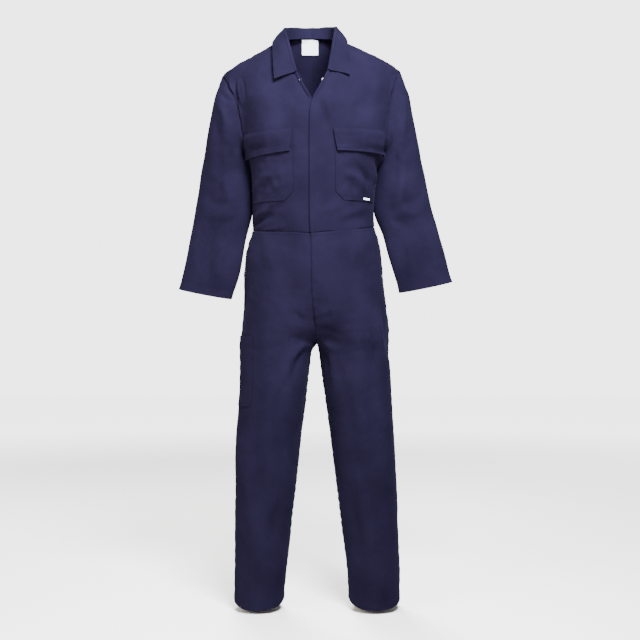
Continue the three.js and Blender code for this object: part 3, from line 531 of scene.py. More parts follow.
def panel_sheet(kind, side, ts):
    """A panel's grid: rows at ts, columns at even distances along each row, close at both seams."""
    fine = np.linspace(0, 1, 160)
    reaches = [run_length(plain(kind, side, fine, np.full_like(fine, t))) for t in ts]
    count = len(spread(max(reach[-1] for reach in reaches), STEP, SEAM, SEAM))
    s = []
    for reach in reaches:
        total = reach[-1]
        ends = [min(1, total / SHORT_ROW) * d for d in SEAM]
        middle = np.linspace(ends[-1], total - ends[-1], count - 2 * len(ends) + 2)
        places = np.concatenate([ends[:-1], middle, [total - d for d in ends[-2::-1]]])
        s.append(np.interp(places, reach, fine))
    s = np.array(s)
    t = np.repeat(np.array(ts)[:, None], s.shape[1], 1)
    sheet = Sheet(surface(kind, side, s, t), trunk_core if kind in ("front", "back") else leg_core(side))
    sheet.t, sheet.kind, sheet.side = t, kind, side
    return sheet


def trunk_core(p):
    return np.stack([0 * p[..., 0], 0 * p[..., 0], p[..., 2] - 40], -1)


def leg_core(side):
    def core(p):
        apart = smooth(-p[..., 2], 700, 900)
        return np.stack([side * apart * 130 + 8, 0 * p[..., 0], p[..., 2]], -1)
    return core


def pucker(sheet, edge, seed, height=0.9, size=15, reach=13):
    """Small gathers that a line of stitches draws up across a seam."""
    d = sheet.edge_distance(edge)
    v = sheet.along if edge in ("in", "out") else sheet.across
    wave = uneven(v, 0 * v, seed, size, 8)
    return height * wave * bump(d, 0, reach) * smooth(d, 0, 2.5)


def stitch_grooves(d, places, half):
    """The grooves that rows of stitches draw into the cloth."""
    return 0.8 * sum(bump(d, place, half) for place in places)


def seam_profile(sheet, edge, felled):
    """A seam: a fine groove, and on the felled side a raised band that two rows hold down."""
    d = sheet.edge_distance(edge)
    profile = -1.3 * bump(d, 0, 1.6)
    if felled:
        profile = profile + 0.9 * step(d, 1.6, 9.6, 0.9) - stitch_grooves(d, BAND_ROWS, 1.2)
    return profile


CLOTH_CORNER, METAL_CORNER = 62, 35  # edges sharper than this, in degrees, show as edges
FLAT_SHARE = 0.98  # a flat cut has a little less area than the creased sheet


def seam(sheet, edge, felled, *gathers):
    return seam_profile(sheet, edge, felled) + pucker(sheet, edge, *gathers)


def add_object(name, data):
    obj = bpy.data.objects.new(name, data)
    bpy.context.scene.collection.objects.link(obj)
    return obj


def add_shape(name, points, faces, material, smooth_below=0):
    """A mesh from points in millimetres, smooth across edges below an angle in degrees."""
    mesh = bpy.data.meshes.new(name)
    mesh.from_pydata((np.asarray(points) * MM).tolist(), [], faces)
    mesh.materials.append(material)
    mesh.validate()
    if smooth_below:
        mesh.polygons.foreach_set("use_smooth", [True] * len(mesh.polygons))
        mesh.set_sharp_from_angle(angle=math.radians(smooth_below))
    return add_object(name, mesh)


def build_mesh(name, sheet, thick, material):
    """Closes a sheet into a thin shell, with the pattern laid out in real sizes."""
    p, n = sheet.p, sheet.n
    rows, cols = p.shape[:2]
    verts = np.concatenate([p.reshape(-1, 3), (p - n * thick).reshape(-1, 3)])
    count = rows * cols
    wrap = cols if sheet.ring else cols - 1
    idx = np.arange(rows * cols).reshape(rows, cols)
    keep = np.ones((rows - 1, wrap), bool)
    if sheet.split:
        keep[:, sheet.split - 1] = False
        idx[sheet.welded, sheet.split] = idx[sheet.welded, sheet.split - 1]
    nxt = np.roll(idx, -1, 1)
    quads = np.stack([idx[:-1, :wrap], nxt[:-1, :wrap], nxt[1:, :wrap], idx[1:, :wrap]], -1)[keep]
    # a quad faces along cross(across, along), which is the sheet's normal unless it was turned
    if sheet.turned:
        quads = quads[:, ::-1]
    sides = {(int(q[k]), int(q[(k + 1) % 4])) for q in quads for k in range(4)}
    rims = [[v, u, u + count, v + count] for u, v in sides if (v, u) not in sides]
    faces = np.concatenate([quads, quads[:, ::-1] + count, rims])
    obj = add_shape(name, verts, faces.tolist(), material, CLOTH_CORNER)
    lay_pattern(obj.data, sheet)
    return obj


def lay_pattern(mesh, sheet):
    """Gives both faces of a shell its distances across and along, in metres, for the weave."""
    across = sheet.across
    if sheet.ring:
        rows, cols = across.shape
        girth = np.arange(cols) / cols * float(across[:, -1].mean())
        across = np.repeat(girth[None], rows, 0)
    uv = np.stack([across, sheet.along], -1).reshape(-1, 2) * MM
    loops = np.empty(len(mesh.loops), int)
    mesh.loops.foreach_get("vertex_index", loops)
    flat = np.concatenate([uv, uv])[loops]
    if sheet.ring:
        # faces over the ring's joint go on past its end
        u = flat[:, 0].reshape(-1, 4)
        full = girth[-1] * MM * (1 + 1 / (cols - 1))
        over = (u.max(1) - u.min(1)) > full / 2
        flat[:, 0] = np.where(over[:, None] & (u < full / 2), u + full, u).ravel()
    layer = mesh.uv_layers.new(name="cloth")
    layer.data.foreach_set("uv", flat.ravel().astype(np.float32))


def cut_size(sheet):
    """The flat cut of a sheet: its widest and its longest run, and its own area."""
    p = sheet.p
    if sheet.ring:
        p = np.concatenate([p, p[:, :1]], 1)
    e1, e2 = p[:-1, 1:] - p[:-1, :-1], p[1:, :-1] - p[:-1, :-1]
    f1, f2 = p[:-1, 1:] - p[1:, 1:], p[1:, :-1] - p[1:, 1:]
    parts = np.linalg.norm(np.cross(e1, e2), axis=2) + np.linalg.norm(np.cross(f1, f2), axis=2)
    runs = np.linalg.norm(np.diff(p, axis=1), axis=2)
    if sheet.split:
        parts[:, sheet.split - 1] = runs[:, sheet.split - 1] = 0
    area = parts.sum() / 2
    width = runs.sum(1).max()
    length = np.linalg.norm(np.diff(p, axis=0), axis=2).sum(0).max()
    area, width, length = area * 1e-6, width * MM, length * MM
    grow = max(1.0, area / (width * length))
    return round(width, 3), round(length * grow, 3), round(area * FLAT_SHARE, 4)


def place_piece(name, sheet, thick, slot, node):
    obj = build_mesh(name, sheet, thick, CLOTH_LOOKS[slot])
    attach(obj, "root")
    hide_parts(node)
    return obj


def lay(name, sheet, node, thick=CLOTH, slot="navy_twill"):
    """Places a cloth piece and works out the flat cut of what shows."""
    obj = place_piece(name, sheet, thick, slot, node)
    width, length, area = cut_size(sheet)


# Materials.


def feed(node, **inputs):
    """Sets a node's inputs, each to a value or to the output that feeds it."""
    for name, value in inputs.items():
        socket = node.inputs[name.replace("_", " ")]
        if isinstance(value, bpy.types.NodeSocket):
            node.id_data.links.new(value, socket)
        else:
            socket.default_value = value
    return node


def new_node(tree, kind, **inputs):
    return feed(tree.nodes.new(kind), **inputs)


def new_material(name):
    material = bpy.data.materials.new(name)
    material.use_nodes = True
    tree = material.node_tree
    return material, tree, tree.nodes["Principled BSDF"]


def noise(tree, place, scale, detail=2):
    return new_node(tree, "ShaderNodeTexNoise", Vector=place, Scale=scale, Detail=detail).outputs["Fac"]


def on_object(tree):
    return tree.nodes.new("ShaderNodeTexCoord").outputs["Object"]


def mixed_shade(tree, share, dark, light, low=0.0, high=1.0):
    """A colour from dark at low to light at high."""
    ramp = new_node(tree, "ShaderNodeValToRGB", Fac=share)
    for stop, colour, position in zip(ramp.color_ramp.elements, (dark, light), (low, high)):
        stop.color = (*colour, 1)
        stop.position = position
    return ramp.outputs["Color"]


def from_to(tree, share, low, high):
    return new_node(tree, "ShaderNodeMapRange", Value=share, To_Min=low, To_Max=high).outputs["Result"]


def bumps(tree, height, strength, depth):
    return new_node(tree, "ShaderNodeBump", Height=height, Strength=strength,
                    Distance=depth).outputs["Normal"]


RIB = 0.00075  # how wide a rib of the twill is, in metres


def twill(name, dark, light):
    """Twill: fine slanting ribs, two slow shades of the dye, and a soft sheen."""
    material, tree, shader = new_material(name)
    uv = tree.nodes.new("ShaderNodeUVMap")
    uv.uv_map = "cloth"
    turn = new_node(tree, "ShaderNodeMapping", Vector=uv.outputs["UV"], Rotation=(0, 0, math.radians(27)))
    ribs = new_node(tree, "ShaderNodeTexWave", Vector=turn.outputs["Vector"], Scale=0.314 / RIB / 2,
                    Distortion=0.6, Detail=1)
    ribs.wave_profile = "SIN"
    slub = noise(tree, uv.outputs["UV"], 420)
    both = tree.nodes.new("ShaderNodeMath")
    both.operation = "MULTIPLY_ADD"
    both.inputs[1].default_value = 0.35
    tree.links.new(slub, both.inputs[0])
    tree.links.new(noise(tree, on_object(tree), 9, 5), both.inputs[2])
    feed(shader, Base_Color=mixed_shade(tree, both.outputs["Value"], dark, light, 0.42, 0.9),
         Roughness=from_to(tree, slub, 0.76, 0.9), Normal=bumps(tree, ribs.outputs["Fac"], 0.35, 0.0002),
         Sheen_Weight=0.012, Sheen_Roughness=0.45, Sheen_Tint=(0.55, 0.55, 1.0, 1), Specular_IOR_Level=0)
    return material


def plain_cloth(name, colour, rough=0.8):
    material, tree, shader = new_material(name)
    grain = noise(tree, on_object(tree), 900)
    feed(shader, Base_Color=mixed_shade(tree, grain, [v * 0.82 for v in colour], colour),
         Normal=bumps(tree, grain, 0.25, 0.0003), Roughness=rough, Specular_IOR_Level=0)
    return material


def steel(name, grey):
    material, tree, shader = new_material(name)
    grain = noise(tree, on_object(tree), 1200)
    dark, light = [(k * grey, k * grey, (k + 0.04) * grey) for k in (0.8, 1.2)]
    feed(shader, Base_Color=mixed_shade(tree, grain, dark, light),
         Roughness=from_to(tree, grain, 0.22, 0.4), Metallic=1)
    return material


THREAD = plain_cloth("navy_thread", (0.0075, 0.0062, 0.0140), rough=0.85)
METAL = steel("stud_steel", 0.25)
# the socket's steel: the stud steel made far darker, as painted shade for the shadow under the front's rolled
# edge
SHADED_STEEL = steel("stud_steel_painted_shade", 0.035)
CLOTH_LOOKS = {
    "navy_twill": twill("navy_twill", (0.0045, 0.0036, 0.0092), (0.0076, 0.0061, 0.0158)),
    "label_tape": plain_cloth("white_tape", (0.82, 0.82, 0.85)),
}

# Body panels.


def heights(kind, shares, low, high, step_mm, lead, tail):
    """Where a panel's rows go, worked out along some of its lines from waist to end."""
    def curves(ts):
        return [plain(kind, LEFT, np.full_like(ts, s), ts) for s in shares]

    return path_places(curves, low, high, step_mm, lead, tail)


waist_to_underarm = heights("front", (0, 0.5, 1), 0, UNDERARM_ROW, STEP, SEAM, [0, STEP])
front_up, back_up = [heights(kind, (0, 0.5, 1), UNDERARM_ROW, last_row(kind), FINE_STEP,
                             [0, FINE_STEP], SEAM) for kind in ("front", "back")]
FRONT_T = np.concatenate([waist_to_underarm, front_up[1:]])
BACK_T = np.concatenate([waist_to_underarm, back_up[1:]])
TROUSER_T = heights("trousers", (0.3, 1), 0, last_row("trousers"), STEP, SEAM, HEM)

sheets = {}
for side, word in WORD.items():
    for name, kind, ts in (("front", "front", FRONT_T), ("back", "back", BACK_T),
                           ("trouser_front", "trousers", TROUSER_T), ("trouser_back", "seat", TROUSER_T)):
        sheets[f"{name}_{word}"] = panel_sheet(kind, side, ts)


def hem_profile(sheet):
    """A turned hem: a double band with its stitches sunk in, and a soft roll at the very edge."""
    d = sheet.edge_distance("end")
    wave = uneven(sheet.across, 0 * d, 71, 34, 8)
    return (0.7 * step(d, -9, HEM_BAND, 1.0) - 0.5 * bump(d, HEM_ROW, 1.3)
            + (0.8 + 0.7 * wave) * bump(d, 0, 7) - 1.1 * bump(d, 0, 0.9))


def v_roll(sheet):
    """Above the closing's top the front edge turns out into a narrow roll."""
    t, d = sheet.t, sheet.edge_distance("in")
    along = smooth(t, V_BOTTOM_ROW - 0.15, V_BOTTOM_ROW + 0.5)
    along = along * (1 - smooth(t, V_ROLL_END - 0.3, V_ROLL_END + 0.3))
    return along * (3.4 * step(d, -4, 6.2, 1.0) - (3.6 if sheet.side == RIGHT else 1.8) * bump(d, 10, 3.4))


def above_underarm(sheet):
    return smooth(sheet.t, UNDERARM_ROW - 0.05, UNDERARM_ROW + 0.05)


def waist_fill(sheet):
    return WAIST_FILL * bump(sheet.edge_distance("start"), 0, 2)


def finish_front(sheet):
    d_in, arm = sheet.edge_distance("in"), above_underarm(sheet)
    height = -0.9 * bump(d_in, 0, 1.0) + 1.4 * step(d_in, 0, 5.5, 1.0) + v_roll(sheet)
    height += seam(sheet, "start", False, 3, 0.35)
    height += waist_fill(sheet)
    height += seam(sheet, "end", False, 4, 0.4)
    height += seam_profile(sheet, "out", True) * arm + (1 - arm) * seam_profile(sheet, "out", False)
    height += pucker(sheet, "out", 5, 0.8) - 1.6 * arm * bump(sheet.edge_distance("out"), 0, 3)
    sheet.raise_by(height)
    sheet.measure()


def finish_back(sheet):
    height = seam(sheet, "start", False, 6, 1.4, 12, 22)
    height += seam(sheet, "end", True, 7, 0.3)
    height += -1.1 * np.exp(-((sheet.edge_distance("end") / 12) ** 4))
    height += (seam_profile(sheet, "out", True)
               + pucker(sheet, "out", 8, 0.8) * (0.4 + 0.6 * above_underarm(sheet)))
    sheet.raise_by(height)
    sheet.measure()


def finish_trousers(sheet, felled_in, felled_out):
    height = seam(sheet, "start", True, 9, 0.35)
    height += waist_fill(sheet)
    height += seam(sheet, "in", felled_in, 10, 0.8, 17)
    height += seam(sheet, "out", felled_out, 11, 0.6, 19)
    height += hem_profile(sheet)
    sheet.raise_by(height)
    # on the centre line, above the crotch, the halves reach under and over each other
    near = (1 - smooth(sheet.t, CROTCH_ROW - 0.3, CROTCH_ROW + 0.4)) * bump(sheet.edge_distance("in"), 0, 7)
    lapping = (5 if sheet.side == RIGHT else 1.5) * smooth(sheet.t, 0.5, FLY_END_ROW - 1)
    sheet.p[..., 0] -= sheet.side * lapping * near
    if sheet.side == RIGHT:
        inward = 2.2 if sheet.kind == "trousers" else -2.2
        sheet.p[..., 1] += inward * near * smooth(sheet.t, FLY_END_ROW - 1, FLY_END_ROW)
    sheet.measure()


for word in WORD.values():
    finish_front(sheets[f"front_{word}"])
    finish_back(sheets[f"back_{word}"])
    finish_trousers(sheets[f"trouser_front_{word}"], word == "left", False)
    finish_trousers(sheets[f"trouser_back_{word}"], word == "left", True)

# The back is one piece: its two halves are one on the centre line, and part round the neck.
left, right = sheets["back_left"], sheets["back_right"]
welded = BACK_T <= NECK_ROW + 0.01
for grid in ("p", "n"):
    ours, theirs = getattr(left, grid), getattr(right, grid)
    middle = (ours[:, 0] + theirs[:, 0]) / 2
    ours[welded, 0] = theirs[welded, 0] = middle[welded]
back = Sheet(np.concatenate([right.p[:, ::-1], left.p], 1), trunk_core)
back.n = unit(np.concatenate([right.n[:, ::-1], left.n], 1))
back.split, back.welded = right.p.shape[1], welded
sheets["back"] = back

# Sleeves.

CUFF_BOW = 3  # how far the front of the cuff dips
TUCK_DROP = 5  # how deep under the body panels the sleeve's turned-in edge lies
TUCK_AT = 0.965  # and how far out on them, as a share of their width
ARM_CLOSE = {RIGHT: 8, LEFT: 11}  # how far the upper sleeve leans in to the side below the armpit
SLEEVE_RADIUS, SEAM_RADIUS = 62, 40


def armhole(side):
    """The panels' edges round the arm, and each point's angle: 0 under it, half a turn on top."""
    front_edge = plain("front", side, 1, front_up)
    back_edge = plain("back", side, 1, back_up)[::-1]
    ring = np.concatenate([front_edge, back_edge[1:-1]])
    runs = np.linalg.norm(np.roll(ring, -1, 0) - ring, axis=1)
    in_front = np.arange(len(ring)) < len(front_edge) - 1
    shares = np.where(in_front, runs / runs[in_front].sum(), runs / runs[~in_front].sum())
    return ring, np.concatenate([[0], np.cumsum(shares * math.pi)[:-1]])


def sleeve_knots(side, ring, angle):
    """The rings that the sleeve runs through, from the armhole to the cuff."""
    knots = [ring]
    for out_x, out_z, in_x, in_z, half, ahead in zip(*SLEEVE[side].values()):
        inward = np.array([(in_x - out_x) / 2, 0, (in_z - out_z) / 2])
        p = np.array([(out_x + in_x) / 2, -ahead, (out_z + in_z) / 2]) + inward * np.cos(angle)[:, None]
        p[:, 1] -= half * np.sin(angle)
        p[:, 0] *= side
        knots.append(p)
    knots[-1][:, 2] -= CUFF_BOW * np.maximum(0, np.sin(angle))
    return np.array(knots)


def sleeve_relief(sheet, side, angle, t):
    """Creases, unevenness, gathers and seams of a sleeve."""
    turn = np.sin(angle)[None, :]
    x, z = side * sheet.p[..., 0], sheet.p[..., 2]
    back_folds = crease_height("sleeve", side, x + 14, z + 22)
    face = np.where(turn > 0, crease_height("sleeve", side, x, z), -0.9 * back_folds) * turn ** 2
    seed, long_wave, short_wave = UNEVEN["sleeve"]
    seed += side
    around = SLEEVE_RADIUS * angle[None, :] + 0 * x
    cloth = (long_wave * (uneven(x, 0.5 * z, seed, 105) * turn ** 2 + 0.5 * uneven(z, 0 * z, seed, 95))
             + short_wave * uneven(around, z, seed + 4, 26) * turn ** 2
             + 0.1 * uneven(around, z, seed + 7, 9))
    stations = len(SLEEVE[side]["outX"])
    calm = smooth(t, -0.05, 0.3) * (0.35 + 0.65 * smooth(stations - t, -0.1, 0.8))
    height = calm * (face + cloth)
    # gathers that run down from the shoulder seam
    down = np.maximum(0, sheet.along - sheet.along[1:2])
    height += 1.6 * uneven(around, 0 * x, seed + 11, 34, 8) * bump(down, 22, 30) * smooth(down, 0, 9)
    height += -2.6 * bump(down, 0, 2.8)
    # the sleeve's own seam, under the arm, where its rings start and end
    height += -0.9 * bump(from_seam(angle) * SEAM_RADIUS, 0, 2.5)
    height += hem_profile(sheet)
    height[0] = 0
    return height


def from_seam(angle):
    return np.minimum(angle, 2 * math.pi - angle)[None, :]


def sleeve_sheet(side):
    ring, angle = armhole(side)
    knots = sleeve_knots(side, ring, angle)
    tab = SLEEVE[side]
    stations = len(tab["outX"])

    def curves(ts):
        p = smooth_through(knots, ts)
        return [p[:, j] for j in range(0, len(ring), 9)]

    ts = path_places(curves, 0, stations, STEP, SEAM, HEM)
    tucked = [plain(kind, side, TUCK_AT, rise) - plain_normal(kind, side, TUCK_AT, rise) * TUCK_DROP
              for kind, rise in (("front", front_up), ("back", back_up[::-1]))]
    tucked = np.concatenate([tucked[0], tucked[1][1:-1]])
    p = np.concatenate([tucked[None], smooth_through(knots, ts)])
    t = np.repeat(np.concatenate([[0], ts])[:, None], len(ring), 1)

    def core(q):
        row = between(tab, np.clip((-q[..., 2] - 200) / 500, 0, 1) * (stations - 1))
        return np.stack([side * (row["outX"] + row["inX"]) / 2, -row["ahead"], q[..., 2]], -1)

    sheet = Sheet(p, core, ring=True)
    sheet.raise_by(sleeve_relief(sheet, side, angle, t))
    close = bump(from_seam(angle), 0, 0.8) * bump(sheet.p[..., 2], -338, 55)
    sheet.p[..., 0] -= side * ARM_CLOSE[side] * close
    sheet.measure()
    return sheet


for side, word in WORD.items():
    sheets[f"sleeve_{word}"] = sleeve_sheet(side)

# Collar.

FRONT_LIFT, BACK_LIFT = 2.8, 0.8  # how far off the neck seam the collar starts
COLLAR_TUCK = 0.07  # the part of the stand that goes on below the neck seam
FALL_COLUMNS = 17


def neckline(side, at):
    shoulder = last_row("front")
    if at <= shoulder:
        kind, t = "front", at
        lift = FRONT_LIFT + (BACK_LIFT - FRONT_LIFT) * (at - (shoulder - 2)) / 2
    else:
        kind, t = "back", last_row("back") - (at - shoulder)
        lift = BACK_LIFT
    return plain(kind, side, 0.0, t) + plain_normal(kind, side, 0.0, t) * lift


def collar_section(side, t):
    row = {key: float(v) for key, v in between(COLLAR[side], t).items()}
    neck = neckline(side, row["neck"])
    roll = np.array([side * row["rollX"], row["rollY"], row["rollZ"]])
    edge = np.array([side * row["edgeX"], row["edgeY"], row["edgeZ"]])
    out = (edge - roll) * (1, 1, 0)
    out /= np.linalg.norm(out)
    fold = min(3.2, 0.3 * np.linalg.norm(roll - neck) + 1.2)
    over = roll + out * 2 * fold
    points = [neck + (roll - np.array([0, 0, fold]) - neck) * f
              for f in np.linspace(-COLLAR_TUCK, 1, 6)]
    for turn in (0.15, 0.3, 0.5, 0.7, 0.85):
        a = math.pi * turn
        p = (roll + over) / 2 - out * fold * math.cos(a)
        p[2] += fold * math.sin(a) - fold
        points.append(p)
    start = over - np.array([0, 0, fold])
    reach = np.linalg.norm(edge - start)
    places = spread(reach, 4.5, [0, 3], [0, 1.0, 2.4, 4.4, 6.2, 8])
    places = np.interp(np.linspace(0, 1, FALL_COLUMNS), np.linspace(0, 1, len(places)), places) / reach
    for f in places:
        points.append(start + (edge - start) * f + out * 3 * 4 * f * (1 - f))
    return np.array(points)


def collar_sheet():
    half = len(COLLAR[RIGHT]["neck"]) - 1
    places = np.concatenate([[0, 0.01, 0.025, 0.05, 0.075], np.linspace(0.1, half, 62)])
    sections = [collar_section(RIGHT, t) for t in places]
    sections += [collar_section(LEFT, t) for t in places[-2::-1]]
    p = np.array(sections)
    # rounds the collar over the centre of the back
    column = np.arange(p.shape[1])[None]
    share = np.abs(p[..., 0]) / (39 + 19 * smooth(column, 8, 26))
    rounded = 16 * np.clip(share - share ** 2, 0, None) * np.clip(column / 5, 0, 1)
    p[..., 1] += rounded * smooth(p[..., 1], 40, 66)
    sheet = Sheet(p, lambda q: np.stack([q[..., 0] * 1.02, q[..., 1] * 0.9, q[..., 2] + 20], -1))
    rim = np.min([sheet.edge_distance(edge) for edge in ("out", "start", "end")], axis=0)
    on_fall = smooth(sheet.across, 24, 40)
    x, z = p[..., 0], p[..., 2]
    height = (0.6 * uneven(x, z, 81, 46) + 0.25 * uneven(x, z, 83, 17)) * on_fall
    height += on_fall * (-0.45 * bump(rim, 6, 1.6) + 0.35 * step(rim, -9, 4.6, 1.0))
    sheet.raise_by(height)
    sheet.measure()
    return sheet


# Patches.


def patch(kind, side, x, z, lift):
    """A sewn-on piece: the panel's own surface at x, z, moved out by lift."""
    s, t = place_on(kind, side, x, z)
    base = surface(kind, side, s, t)
    return base + plain_normal(kind, side, s, t) * np.broadcast_to(lift, x.shape)[..., None]


def unit_grid(height, width, down, across):
    """Shares of height and width, each at a step, a lead and a tail."""
    return np.meshgrid(spread(height, *down) / height, spread(width, *across) / width, indexing="ij")


def mix(a, b, share):
    return a + (b - a) * share


POCKET_WIDTH, POCKET_HEIGHT, FLAP_HEIGHT = 115, 172, 62  # about, for distances from their edges


def chest_pocket(side):
    plan = CHEST_POCKET[side]
    tall = plan["top"] - plan["low"]
    v, u = unit_grid(tall, plan["outTop"] - plan["inTop"], (5.5, [0, 2], SEAM), (5.5, SEAM, SEAM))
    in_x, out_x = mix(plan["inTop"], plan["inLow"], v), mix(plan["outTop"], plan["outLow"], v)
    cut_from = 1 - plan["cut"] / tall
    cut = plan["cut"] * np.clip((v - cut_from) / (1 - cut_from), 0, 1)
    x = in_x + cut + (out_x - in_x - cut) * u
    z = mix(plan["top"] + plan["slopeTop"] * u, plan["low"], v)
    rim = np.minimum(np.minimum(u, 1 - u) * POCKET_WIDTH, (1 - v) * POCKET_HEIGHT)
    belly = 3.2 * smooth(rim, 6, 46) * (1 - 0.4 * v)
    tuck = 1.4 * uneven(x, z, 91 + side, 30) * smooth(rim, 8, 26)
    lift = 1.5 + 0.9 * step(rim, -5, 12, 1.0) + belly + tuck
    lift = lift - stitch_grooves(rim, POCKET_ROWS, 1.1) + 1.2 * (1 - v) ** 2
    return Sheet(patch("front", side, x, z, lift), trunk_core)


def flap(side):
    plan = FLAP[side]
    width = plan["topOut"][0] - plan["topIn"][0]
    edge = [0, 1.2, 2.4, FLAP_ROW, FLAP_TOP_ROW]
    v, u = unit_grid(FLAP_HEIGHT + 2, width, (4.2, [0, 1.2, 2.4, 4.8, FLAP_TOP_ROW], edge), (5.0, edge, edge))
    x, z = [mix(mix(plan["topIn"][k], plan["topOut"][k], u), mix(plan["lowIn"][k], plan["lowOut"][k], u), v)
            for k in (0, 1)]
    rim = np.minimum(np.minimum(u, 1 - u) * width, (1 - v) * FLAP_HEIGHT)
    stands = 4.2 * v * v + smooth(v, 0, 0.16) * 4.6
    curl = 1.5 * v * uneven(x, 0 * z, 95 + side, 44, 8)
    curl = curl + 0.5 * uneven(x, z, 97 + side, 20) * smooth(v, 0.05, 0.3)
    lift = 2.2 + stands + curl + 0.4 * step(rim, -5, 5.5, 0.9) - 0.8 * bump(rim, FLAP_ROW, 1.2)
    lift = lift - 0.9 * bump(v * FLAP_HEIGHT, FLAP_TOP_ROW, 1.2)
    # two dents where the fastenings behind it are stitched through
    for place in (0.3, 0.72):
        lift = lift - 0.8 * bump(u, place, 0.03) * step(v, 0.25, 0.9, 0.08)
    return Sheet(patch("front", side, x, z, lift), trunk_core)


def beside_seam(sheet, place, count, across, lift):
    """A patch on a trouser front, measured in from its side seam."""
    out_z = sheet.p[:, -1, 2]
    order = np.argsort(out_z)
    levels = np.linspace(place["top"], place["low"], count)
    row_at = np.interp(levels, out_z[order], np.arange(len(out_z))[order])
    d = sheet.edge_distance("out")[:, ::-1]
    p, n = sheet.p[:, ::-1], sheet.n[:, ::-1]
    cols = spread(place["width"], *across) / place["width"]
    places = place["first"] + place["width"] * cols
    grid = np.zeros((count, len(cols), 3))
    for i, r in enumerate(row_at):
        low, f = int(r), r - int(r)
        lifts = lift(i / (count - 1), cols)[:, None]
        for k, weight in ((low, 1 - f), (min(low + 1, len(d) - 1), f)):
            grid[i] += weight * (along_line(places, d[k], p[k]) + along_line(places, d[k], n[k]) * lifts)
    return Sheet(grid, leg_core(sheet.side))


# Stitches.

STITCH, STITCH_GAP, STITCH_HALF, STITCH_HEIGHT, STITCH_SINK = 2.7, 0.9, 0.36, 0.3, 0.05
stitch_points, stitch_faces = [], []


def stitch_row(points, normals):
    """A row of single stitches along a line of points, each a low peak over four corners."""
    if len(points) < 2:
        return
    reach = run_length(points)
    count = int(reach[-1] // (STITCH + STITCH_GAP))
    if count < 1:
        return
    starts = (np.arange(count) + 0.5) * reach[-1] / count - STITCH / 2
    a, m, b = (along_line(starts + d, reach, points) for d in (0, STITCH / 2, STITCH))
    n = unit(along_line(starts + STITCH / 2, reach, normals))
    aside = unit(np.cross(b - a, n)) * STITCH_HALF
    corners = [a - n * STITCH_SINK, b - n * STITCH_SINK, m + aside, m - aside, m + n * STITCH_HEIGHT]
    first = sum(len(p) for p in stitch_points) + np.arange(count)[:, None] * len(corners)
    stitch_points.append(np.stack(corners, 1).reshape(-1, 3))
    for tri in ((0, 2, 4), (2, 1, 4), (1, 3, 4), (3, 0, 4)):
        stitch_faces.append(first + np.array(tri)[None])


def sew(name, edges, distances, first=0.0, last=1.0):
    """Rows along the named edges of a sheet, at each distance in from them."""
    for edge in edges.split():
        for distance in distances:
            stitch_row(*sheets[name].line(edge, distance, first, last))


def stitch_object(name):
    """Makes one object of all rows sewn since the last one."""
    obj = add_shape(name, np.concatenate(stitch_points), np.concatenate(stitch_faces).tolist(), THREAD)
    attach(obj, "root")
    stitch_points.clear()
    stitch_faces.clear()


# Laying it all out.

THICK = dict(collar=1.8, pocket=1.2, flap=2.0, rule=1.3, facing=1.2, label=0.7, tag=0.6)

for name in ("front_right", "front_left", "back", "trouser_front_right", "trouser_front_left",
             "trouser_back_right", "trouser_back_left", "sleeve_right", "sleeve_left"):
    lay(name + "_cloth", sheets[name], name)

sheets["collar"] = collar_sheet()
lay("collar_cloth", sheets["collar"], "collar", THICK["collar"])

# The tag on the left chest pocket, measured up from the pocket's lower edge.
TAG_MIDDLE, TAG_WIDTH, TAG_TOP, TAG_HEIGHT = 151, 16, 9, 5
v, u = np.meshgrid(np.linspace(0, 1, 5), np.linspace(0, 1, 9), indexing="ij")
tag_x = TAG_MIDDLE + TAG_WIDTH * (u - 0.5)
tag_z = CHEST_POCKET[LEFT]["low"] + TAG_TOP - TAG_HEIGHT * v
tag = Sheet(patch("front", LEFT, tag_x, tag_z, 4.4 + 0.5 * u), trunk_core)
tag_piece = place_piece("pocket_tag_tape", tag, THICK["tag"], "label_tape", "pocket_tag")

for side, word in WORD.items():
    pocket_name, flap_name, below = f"pocket_{word}", f"flap_{word}", [f"front_{word}_cloth"]
    sheets[pocket_name] = chest_pocket(side)
    lay(pocket_name + "_cloth", sheets[pocket_name], pocket_name, THICK["pocket"])
    sheets[flap_name] = flap(side)
    lay(flap_name + "_cloth", sheets[flap_name], flap_name, THICK["flap"])

RULE_POCKET = dict(top=-832, low=-1030, first=4, width=92)
sheets["rule"] = beside_seam(sheets["trouser_front_right"], RULE_POCKET, 44, (6, SEAM, SEAM),
                             lambda v, u: 1.7 + 1.6 * bump(v, 0, 0.12) + 1.6 * u * (1 - u))
lay("rule_pocket_cloth", sheets["rule"], "rule_pocket", THICK["rule"])

HIP_FACING = dict(top=-585, low=-752, first=4, width=12)
for word in WORD.values():
    facing = beside_seam(sheets[f"trouser_front_{word}"], HIP_FACING, 36, (2.4, [0, 1.2], [0, 1.2]),
                         lambda v, u: 1.4 + 1.6 * u * math.sin(math.pi * v))
    sheets[f"facing_{word}"] = facing
    lay(f"hip_facing_{word}", facing, f"hip_pocket_{word}", THICK["facing"])

# The neck label: plain white tape inside the back.
LABEL_MIDDLE, LABEL_WIDTH, LABEL_TOP, LABEL_HEIGHT = -5, 48, 39.5, 43
LABEL_GAP = 1.3  # between the back's inner face and the label


